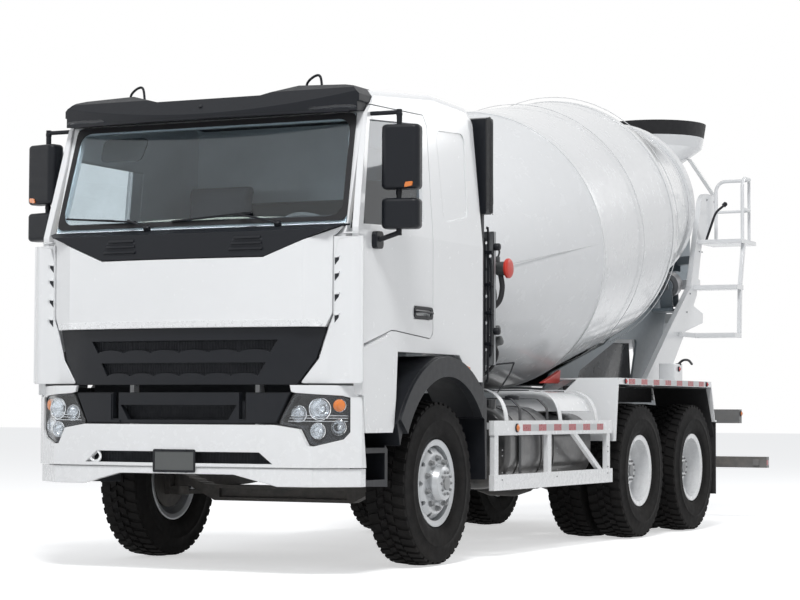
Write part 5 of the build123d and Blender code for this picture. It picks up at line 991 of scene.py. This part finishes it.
for side, tag in both_sides():
    door = f"{tag}_door"
    bm = bmesh.new()
    # grip over its recess
    panel(bm,
          [rounded([(1.046, 1.652), (1.072, 1.640), (1.318, 1.640), (1.334, 1.655), (1.334, 1.706),
                    (1.318, 1.720), (1.072, 1.720), (1.046, 1.706)], 0.01, 3),
           rounded(rect(1.070, 1.300, 1.660, 1.700), 0.012, 3)], side_face(side, 1.1805), 0.006)
    tube(bm,
         route(5, (side * 1.180, 1.060, 1.682), (side * 1.196, 1.085, 1.684),
               (side * 1.203, 1.180, 1.686), (side * 1.196, 1.285, 1.684),
               (side * 1.180, 1.305, 1.682)), section=strip(0.016, 0.006, 0.013, 0.006))
    finish_piece(f"door_handle_{tag}", bm, door, "plastic_black", bevel=0.002)
    bm = bmesh.new()
    # mirror glasses on the rear faces, clamps on the post
    turn = radians(12)
    for low, high in ((2.200, 2.352), (2.455, 2.815)):
        glass = rounded(rect(-0.100, 0.100, low, high), 0.03, 4)
        panel(bm, [glass], lambda u, v, w: point(
            side * (1.352 + u * cos(turn) - (0.0655 + w) * sin(turn)),
            0.505 + u * sin(turn) + (0.0655 + w) * cos(turn), v), 0.002)
    finish_piece(f"mirror_glass_{tag}", bm, door, "glass_tint", "mirror_glass")
    bm = bmesh.new()
    for z in (2.40, 2.90):
        disc(bm, point(side * 1.332, 0.505, z), (0, 0, 1), 0.020, 0.022, steps=20)
    marker = [(1.395, 2.436), (1.445, 2.446), (1.452, 2.475), (1.405, 2.470)]
    finish_piece(f"mirror_clamps_{tag}", bm, door, "plastic_black")
    bm = bmesh.new()
    panel(bm, [rounded(marker, 0.008, 3)],
          lambda u, v, w: point(side * u, 0.4395 + (u - 1.395) * 0.2126 + w, v), 0.010, 0.02)
    finish_piece(f"mirror_marker_{tag}", bm, door, "lamp_clear", "amber")

# air intake: herringbone mesh on its open faces
bm = bmesh.new()
for k in range(54):
    z = 2.44 + k * 0.0122
    for lean, s0 in ((0.35, 2.202), (-0.35, 2.262)):
        prism(bm,
              [(s0, z), (s0 + 0.056, z + 0.056 * lean), (s0 + 0.056, z + 0.056 * lean + 0.0045),
               (s0, z + 0.0045)], side_face(1, 1.190), 0.0035)
# black sheet behind the mesh: painted shade inside the intake
prism(bm, rounded(rect(2.196, 2.324, 2.43, 3.10), 0.02, 3),
      side_face(1, 1.1895), 0.001)
finish_piece("intake_mesh", bm, "chassis", "plastic_black", smooth=20)

# amber side marker on the arch
for side, tag in both_sides():
    bm = bmesh.new()
    prism(bm, rounded([(1.850, 1.315), (1.935, 1.300), (1.940, 1.335), (1.855, 1.350)], 0.010, 3),
          side_face(side, 1.182), 0.008)
    finish_piece(f"side_marker_{tag}", bm, "chassis", "lamp_clear", "amber", bevel=0.002)


# ---- padded seats
def applied(piece):
    """Turn the piece's modifiers into its mesh."""
    shaped = piece.evaluated_get(bpy.context.evaluated_depsgraph_get())
    mesh = bpy.data.meshes.new_from_object(shaped)
    piece.modifiers.clear()
    piece.data = mesh


PAD_VOXEL, PAD_PRESSURE, PAD_STEPS = 0.010, 4, 20
MOST_SWELL = 0.014                       # how far a point of a pad may move
SEAM_REACH, SEAM_DEPTH, SEAM_PULL = 0.022, 0.05, 0.012
SEAT_X = 0.62


def pad(name, outline, middle_x, width, channels):
    """A stuffed pad: its side outline, swollen by a cloth simulation, then sewn across."""
    bm = bmesh.new()
    prism(bm, rounded(outline, 0.045, 4), side_view, width, middle_x - width / 2)
    piece = finish_piece(name, bm, "cab", "seat_cloth", replaces=["seat_cushions"])
    even = piece.modifiers.new("even", "REMESH")
    even.mode = "VOXEL"
    even.voxel_size = PAD_VOXEL
    applied(piece)
    rest = [v.co.copy() for v in piece.data.vertices]
    cloth = piece.modifiers.new("swell", "CLOTH")
    cloth.settings.use_pressure = True
    cloth.settings.uniform_pressure_force = PAD_PRESSURE
    cloth.settings.effector_weights.gravity = 0
    for step in range(1, PAD_STEPS + 1):
        bpy.context.scene.frame_set(step)
    applied(piece)
    bpy.context.scene.frame_set(1)
    for vert, start in zip(piece.data.vertices, rest):
        move = vert.co - start
        if move.length > MOST_SWELL:
            vert.co = start + move * (MOST_SWELL / move.length)
    turn = piece.matrix_world
    back = turn.inverted()
    for vert in piece.data.vertices:
        spot = turn @ vert.co
        for (s0, z0), (s1, z1) in channels:
            # seam across the pad, as a line in its side view that cuts its skin
            along = Vector((s1 - s0, z1 - z0)).normalized()
            off = Vector((spot.y - at(s0), spot.z - z0))
            depth = off.dot(along)
            gap = abs(off.cross(along))
            if gap < SEAM_REACH and depth < SEAM_DEPTH:
                pull = SEAM_PULL * (1 - gap / SEAM_REACH) ** 2
                spot += Vector((0, along.x, along.y)) * pull
        vert.co = back @ spot
    piece.data.polygons.foreach_set("use_smooth", [True] * len(piece.data.polygons))
    round_off = piece.modifiers.new("round_off", "SUBSURF")
    round_off.levels = round_off.render_levels = 1
    piece.data.materials.clear()
    piece.data.materials.append(MATERIALS["seat_cloth"])


for side, tag in both_sides():
    pad(f"seat_pad_{tag}", [(1.075, 1.800), (1.072, 1.900), (1.470, 1.886), (1.560, 1.800)],
        side * SEAT_X, 0.485, [((1.20, 1.93), (1.20, 1.80)), ((1.34, 1.93), (1.34, 1.80))])
    pad(f"seat_back_{tag}", [(1.495, 1.905), (1.592, 2.635), (1.690, 2.635), (1.622, 1.905)],
        side * SEAT_X, 0.480, [((1.44, 2.05), (1.60, 2.03)), ((1.46, 2.20), (1.62, 2.18)),
                             ((1.48, 2.35), (1.64, 2.33))])


# ---- left and right side equipment
def tape(name, side, x, start, end, low, high, first, piece_length=0.15):
    """Conspicuity tape in alternating red and silver lengths on a flat side face."""
    for colour, offset in (("red_tape", first), ("silver_tape", 1 - first)):
        bm = bmesh.new()
        k = 0
        s = start
        while s < end - 0.01:
            if k % 2 == offset:
                prism(bm, [(s, low), (min(s + piece_length, end), low),
                           (min(s + piece_length, end), high), (s, high)],
                      side_face(side, x), 0.0012)
            s += piece_length
            k += 1
        finish_piece(f"{name}_{colour}", bm, "chassis", "cab_white", colour)


def round_lamp(name, centre, axis, radius, lens):
    """Round marker lamp: black holder and domed lens."""
    bm = bmesh.new()
    disc(bm, centre, axis, radius, 0.010, steps=28)
    finish_piece(f"{name}_holder", bm, "chassis", "plastic_black")
    bm = bmesh.new()
    disc(bm, Vector(centre) + Vector(axis) * 0.008, axis, radius * 0.82, 0.007, dome=0.007,
         steps=28)
    finish_piece(f"{name}_lens", bm, "chassis", "lamp_clear", lens)


def bolts(name, spots, axis, across, slot="roller_steel", material="steel_grey"):
    bm = bmesh.new()
    for spot in spots:
        hex_nut(bm, spot, axis, across, across * 0.5)
    finish_piece(name, bm, "chassis", slot, material, smooth=30)


GUARD_FACE, FENDER_FACE = 1.230, 1.240    # side distances of the flat outer faces
for side, tag in both_sides():
    out = (side, 0, 0)
    tape(f"guard_tape_{tag}", side, GUARD_FACE, 2.78, 4.42, 0.892, 0.940, 0)
    tape(f"fender_tape_{tag}", side, FENDER_FACE, 4.98, 6.92, 1.258, 1.302, 0)
    round_lamp(f"guard_lamp_{tag}", point(side * (GUARD_FACE - 0.001), 2.67, 0.915), out, 0.032,
               "amber")
    for number, s in enumerate((4.90, 7.00)):
        round_lamp(f"fender_lamp_{number}_{tag}", point(side * (FENDER_FACE - 0.001), s, 1.280),
                   out, 0.022, "red_lens")
    bolts(f"guard_bolts_{tag}", [point(side * GUARD_FACE, s, z) for s in (2.40, 3.44, 4.52)
                                 for z in (0.55, 0.60, 0.72, 0.76)], out, 0.009)
    bolts(f"fender_bolts_{tag}", [point(side * FENDER_FACE, s, z) for s in (4.94, 5.85, 5.98, 6.96)
                                  for z in (1.262, 1.298)], out, 0.007)
    bm = bmesh.new()
    for s in (2.60, 3.64, 4.40):
        band = smooth_path([point(side * x, s, z) for x, z in (
            (0.62, 1.200), (0.90, 1.200), (1.03, 1.185), (1.12, 1.130), (1.165, 1.045),
            (1.180, 0.955))], 7)
        tube(bm, band, section=strip(0.032, 0.003, 0.032, 0.003))
    finish_piece(f"guard_hoops_{tag}", bm, "chassis", "cab_white")

    # white locker behind the tank, under the rear bands
    bm = bmesh.new()
    locker = [(0.60, 1.030), (0.60, 1.190), (0.90, 1.190), (1.02, 1.176), (1.105, 1.124),
              (1.150, 1.035)]
    prism(bm, locker, lambda u, v, w: point(side * u, w, v), 0.66, 3.70)
    finish_piece(f"locker_{tag}", bm, "chassis", "cab_white", bevel=0.004)
    # black liners inside the fenders: inner splash plates, made black partly as painted shade
    # under the fender rail
    bm = bmesh.new()
    block(bm, (side * 0.905, 4.94, 1.240), (side * 1.232, 7.05, 1.2455))
    block(bm, (side * 0.700, 4.90, 1.118), (side * 0.706, 7.05, 1.2455))
    prism(bm, [(7.036, 1.250), (7.042, 1.250), (7.276, 0.815), (7.270, 0.815)],
          lambda u, v, w: point(side * w, u, v), 0.50, 0.722)
    finish_piece(f"fender_shade_liner_{tag}", bm, "chassis", "rubber_black")

# bolt rows along the frame rails
for side, tag in both_sides():
    bolts(f"rail_bolts_{tag}", [point(side * 0.4305, 2.45 + 0.24 * k, z) for k in range(24)
                                for z in (0.86, 0.98)],
          (side, 0, 0), 0.010, "frame_grey", "frame_grey")

# valve box with its red lamp and lever on the fender
bm = bmesh.new()
block(bm, (0.80, 6.98, 1.309), (0.95, 7.20, 1.468))
finish_piece("valve_box", bm, "chassis", "cab_white", bevel=0.006)
round_lamp("valve_lamp", point(0.95, 7.09, 1.42), (1, 0, 0), 0.024, "red_lens")
bm = bmesh.new()
tube(bm,
     route(6, (0.93, 7.14, 1.465), (0.965, 7.17, 1.50), (0.985, 7.26, 1.502), (0.985, 7.36, 1.47)),
     0.011, 10)
disc(bm, point(0.93, 7.14, 1.455), (0, 0, 1), 0.026, 0.018, steps=20)
finish_piece("valve_lever", bm, "chassis", "plastic_black")

# ---- behind the cab
bm = bmesh.new()
holes = [oval((1.105 + 0.032 * (k % 2), 1.47 + 0.095 * k), 0.011, 0.011, 14) for k in range(9)]
panel(bm, [rounded(rect(1.080, 1.165, 1.36, 2.31), 0.010, 3), *holes],
      lambda u, v, w: point(u, 2.395 + w, v), 0.006, 0.4)
block(bm, (1.159, 2.395, 1.36), (1.165, 2.435, 2.31))
for z in (1.40, 2.24):
    block(bm, (0.43, 2.400, z), (1.09, 2.430, z + 0.045))
finish_piece("line_bracket", bm, "chassis", "frame_grey", "steel_grey", bevel=0.001)
bm = bmesh.new()
for x, low, high in ((1.100, 1.30, 2.26), (1.128, 1.25, 2.33), (1.152, 1.42, 2.12)):
    tube(bm,
         route(6, (x - 0.02, 2.40, low), (x, 2.380, low + 0.08), (x, 2.380, high - 0.08),
               (x - 0.01, 2.375, high)), 0.008, 12)
for z in (1.50, 1.72, 1.92, 2.15):
    block(bm, (1.090, 2.368, z), (1.162, 2.396, z + 0.022))
for z in (1.60, 2.20):
    disc(bm, point(1.164, 2.415, z), (1, 0, 0), 0.026, 0.040, dome=0.005, steps=20)
finish_piece("air_lines", bm, "chassis", "plastic_black", bevel=0.001)
FILLER = point(1.196, 2.55, 2.055)        # joint of the filler's neck and cap
bm = bmesh.new()
lathe(bm,
      [(0.0, 0.001), (0.0, 0.060), (0.006, 0.070), (0.022, 0.072), (0.030, 0.066), (0.034, 0.050),
       (0.034, 0.001)], FILLER, (1, 0, 0), 28)
finish_piece("filler_cap", bm, "chassis", "plastic_dark", "red_paint", smooth=40)
bm = bmesh.new()
lathe(bm,
      [(-0.15, 0.001), (-0.15, 0.030), (-0.09, 0.032), (-0.07, 0.048), (-0.01, 0.050),
       (0.0, 0.058), (0.002, 0.001)], FILLER, (1, 0, 0), 28)
block(bm, (1.080, 2.43, 2.035), (1.120, 2.56, 2.075))
disc(bm, point(1.130, 2.55, 2.10), (0, 0, 1), 0.016, 0.040, dome=0.006, steps=18)
tube(bm, route(6, (1.13, 2.55, 2.13), (1.15, 2.53, 2.18), (1.13, 2.48, 2.20), (1.11, 2.42, 2.17)),
     0.007, 10)
finish_piece("filler_neck", bm, "chassis", "plastic_dark", bevel=0.002)
bm = bmesh.new()
tube(bm,
     route(9, (1.15, 2.55, 2.02), (1.165, 2.55, 1.92), (1.150, 2.53, 1.82), (1.10, 2.48, 1.755),
           (1.09, 2.44, 1.74)), 0.019, 14)
tube(bm,
     route(9, (1.10, 2.41, 1.95), (1.13, 2.46, 1.93), (1.14, 2.48, 1.84), (1.12, 2.45, 1.66),
           (1.13, 2.48, 1.52), (1.14, 2.52, 1.44), (1.10, 2.50, 1.34), (1.00, 2.47, 1.26)), 0.012,
     12)
finish_piece("coolant_hoses", bm, "chassis", "rubber_black", smooth=60)
bm = bmesh.new()
disc(bm, point(1.14, 2.49, 1.53), (1, 0, 0.2), 0.034, 0.050, dome=0.008, steps=24)
disc(bm, point(1.13, 2.49, 1.62), (1, 0, 0), 0.026, 0.040, dome=0.006, steps=20)
block(bm, (1.060, 2.43, 1.49), (1.140, 2.53, 1.57))
finish_piece("line_filters", bm, "chassis", "plastic_dark", bevel=0.002)
bm = bmesh.new()
tube(bm, [point(1.10, 2.62, 1.17), point(1.15, 2.72, 1.30), point(1.17, 2.76, 1.385)], 0.006, 8)
tube(bm, [point(1.06, 2.56, 1.365), point(1.17, 2.76, 1.385)], 0.006, 8)
finish_piece("dip_rod", bm, "chassis", "plastic_black")
# vent plate on the sleeper side
bm = bmesh.new()
panel(bm, [rounded(rect(2.035, 2.135, 2.290, 2.345), 0.006, 2)],
      lambda u, v, w: point(1.1655 - (v - 2.18) * CAB_LEAN + 0.006 + w, u, v), 0.004, 0.2)
finish_piece("sleeper_vent", bm, "cab", "plastic_dark", bevel=0.001)

# tank straps and caps
bm = bmesh.new()
STRAP = rounded([(0.52, 1.128), (1.10, 1.128), (1.174, 1.06), (1.174, 0.54), (1.10, 0.458),
                 (0.52, 0.458)], 0.05, 5)[3:-3]
for s in (2.86, 3.38):
    tube(bm, [point(x, s, z) for x, z in STRAP], section=strip(0.022, 0.002, 0.022, 0.002))
finish_piece("tank_straps", bm, "chassis", "plastic_black")
bm = bmesh.new()
disc(bm, point(1.00, 3.12, 1.119), (0, 0, 1), 0.055, 0.030, dome=0.006, steps=32)
disc(bm, point(0.92, 4.10, 1.019), (0, 0, 1), 0.045, 0.020, dome=0.004, steps=32)
finish_piece("tank_caps", bm, "chassis", "plastic_black")

# black block behind the opening of the drum stand: painted shade of the stand's hollow inside
bm = bmesh.new()
prism(bm, [(5.86, 1.262), (5.96, 1.380), (6.93, 1.655), (7.44, 1.672), (7.50, 1.262)],
      side_view, 0.70, -0.35)
finish_piece("stand_opening_shade", bm, "chassis", "plastic_dark", "tank_black", bevel=0.006)

# red guard at the front of the fender, under the drum
bm = bmesh.new()
prism(bm, [(4.55, 1.262), (4.93, 1.262), (4.95, 1.372), (4.86, 1.345), (4.70, 1.300)],
      side_view, 0.035, 0.625)
finish_piece("subframe_marker", bm, "chassis", "stand_bluegrey", "red_paint", bevel=0.004)

# ---- drum welds and the rear
DRUM_SLOPE = radians(11.11)
DRUM_AXIS = Vector((0, cos(DRUM_SLOPE), sin(DRUM_SLOPE)))
DRUM_ORIGIN = point(0, 5.0, 2.409)
DRUM_RADIUS = 1.150
# cones and barrel of the drum, measured along its axis
FRONT_END, BARREL_START, BARREL_END, REAR_END = -2.13, -0.309, 1.526, 3.042
FRONT_RADIUS, REAR_RADIUS = 0.560, 0.750


def drum_radius(along):
    if along < BARREL_START:
        return FRONT_RADIUS + ((along - FRONT_END) / (BARREL_START - FRONT_END)
                               * (DRUM_RADIUS - FRONT_RADIUS))
    if along < BARREL_END:
        return DRUM_RADIUS
    return DRUM_RADIUS - ((along - BARREL_END) / (REAR_END - BARREL_END)
                          * (DRUM_RADIUS - REAR_RADIUS))


bm = bmesh.new()
BAND, RISE, SEAT = 0.010, 0.0018, 0.003      # weld width, its height, its depth in the skin
for along in (BARREL_START, 0.620, BARREL_END):
    profile = [(-BAND / 2, -SEAT), (RISE - BAND / 2, RISE), (BAND / 2 - RISE, RISE),
               (BAND / 2, -SEAT)]
    lathe(bm, [(along + a, DRUM_RADIUS + r) for a, r in profile], DRUM_ORIGIN, DRUM_AXIS, 128)
for start, end, degrees in ((-2.05, -0.33, -2), (-0.29, 0.61, 200), (0.63, 1.51, 110),
                            (1.55, 2.90, 250)):
    # longitudinal weld of each shell course, staggered round the drum
    turn = radians(degrees)
    across = Vector((1, 0, 0))
    out = across * cos(turn) + DRUM_AXIS.cross(across) * sin(turn)
    spots = [start + (end - start) * k / 16 for k in range(17)]
    tube(bm, [DRUM_ORIGIN + DRUM_AXIS * a + out * drum_radius(a) for a in spots], 0.0035, 6)
finish_piece("drum_welds", bm, "mixer_drum", "drum_white", smooth=60)

for side, tag in both_sides():
    round_lamp(f"tail_marker_{tag}", point(side * 1.149, 8.308, 1.02), (side, 0, 0), 0.026,
               "amber")
for side, tag in both_sides():
    for number, (x, lens) in enumerate(((1.07, "red_lens"), (0.93, "amber"), (0.79, "red_lens"),
                                        (0.66, "lamp_clear"))):
        bm = bmesh.new()
        block(bm, (side * x - 0.062, 8.344, 0.945), (side * x + 0.062, 8.352, 1.045))
        finish_piece(f"tail_lens_{number}_{tag}", bm, "chassis", "lamp_clear", lens, bevel=0.003)
    tape(f"underrun_tape_{tag}", side, 1.200, 8.99, 9.06, 0.52, 0.57, 0, 0.05)
for colour, offset in (("red_tape", 0), ("silver_tape", 1)):
    bm = bmesh.new()
    for k in range(16):
        if k % 2 == offset:
            x = -1.16 + 0.145 * k
            block(bm, (x, 9.069, 0.522), (x + 0.145, 9.0712, 0.572))
    finish_piece(f"underrun_band_{colour}", bm, "chassis", "frame_grey", colour)

# bent control lever of the chute with its knob
bm = bmesh.new()
tube(bm, route(7, (0.71, 8.60, 2.66), (0.76, 8.62, 2.82), (0.80, 8.66, 2.96), (0.86, 8.70, 3.03)),
     0.012, 12)
disc(bm, point(0.865, 8.703, 3.035), (0.6, 0.4, 0.7), 0.022, 0.036, dome=0.008, steps=20)
finish_piece("chute_lever", bm, "chassis", "plastic_black")
SUPPORT_BOLTS = [(6.86, 1.19), (7.10, 1.19), (8.10, 1.98), (8.20, 2.16), (8.72, 3.10),
                 (8.95, 3.10)]
LEFT_SUPPORT_BOLTS = [(8.48, 2.58), (8.56, 2.58)]
for side, tag in both_sides():
    spots = SUPPORT_BOLTS + (LEFT_SUPPORT_BOLTS if side > 0 else [])
    bolts(f"support_bolts_{tag}", [point(side * 0.6905, s, z) for s, z in spots], (side, 0, 0),
          0.013)
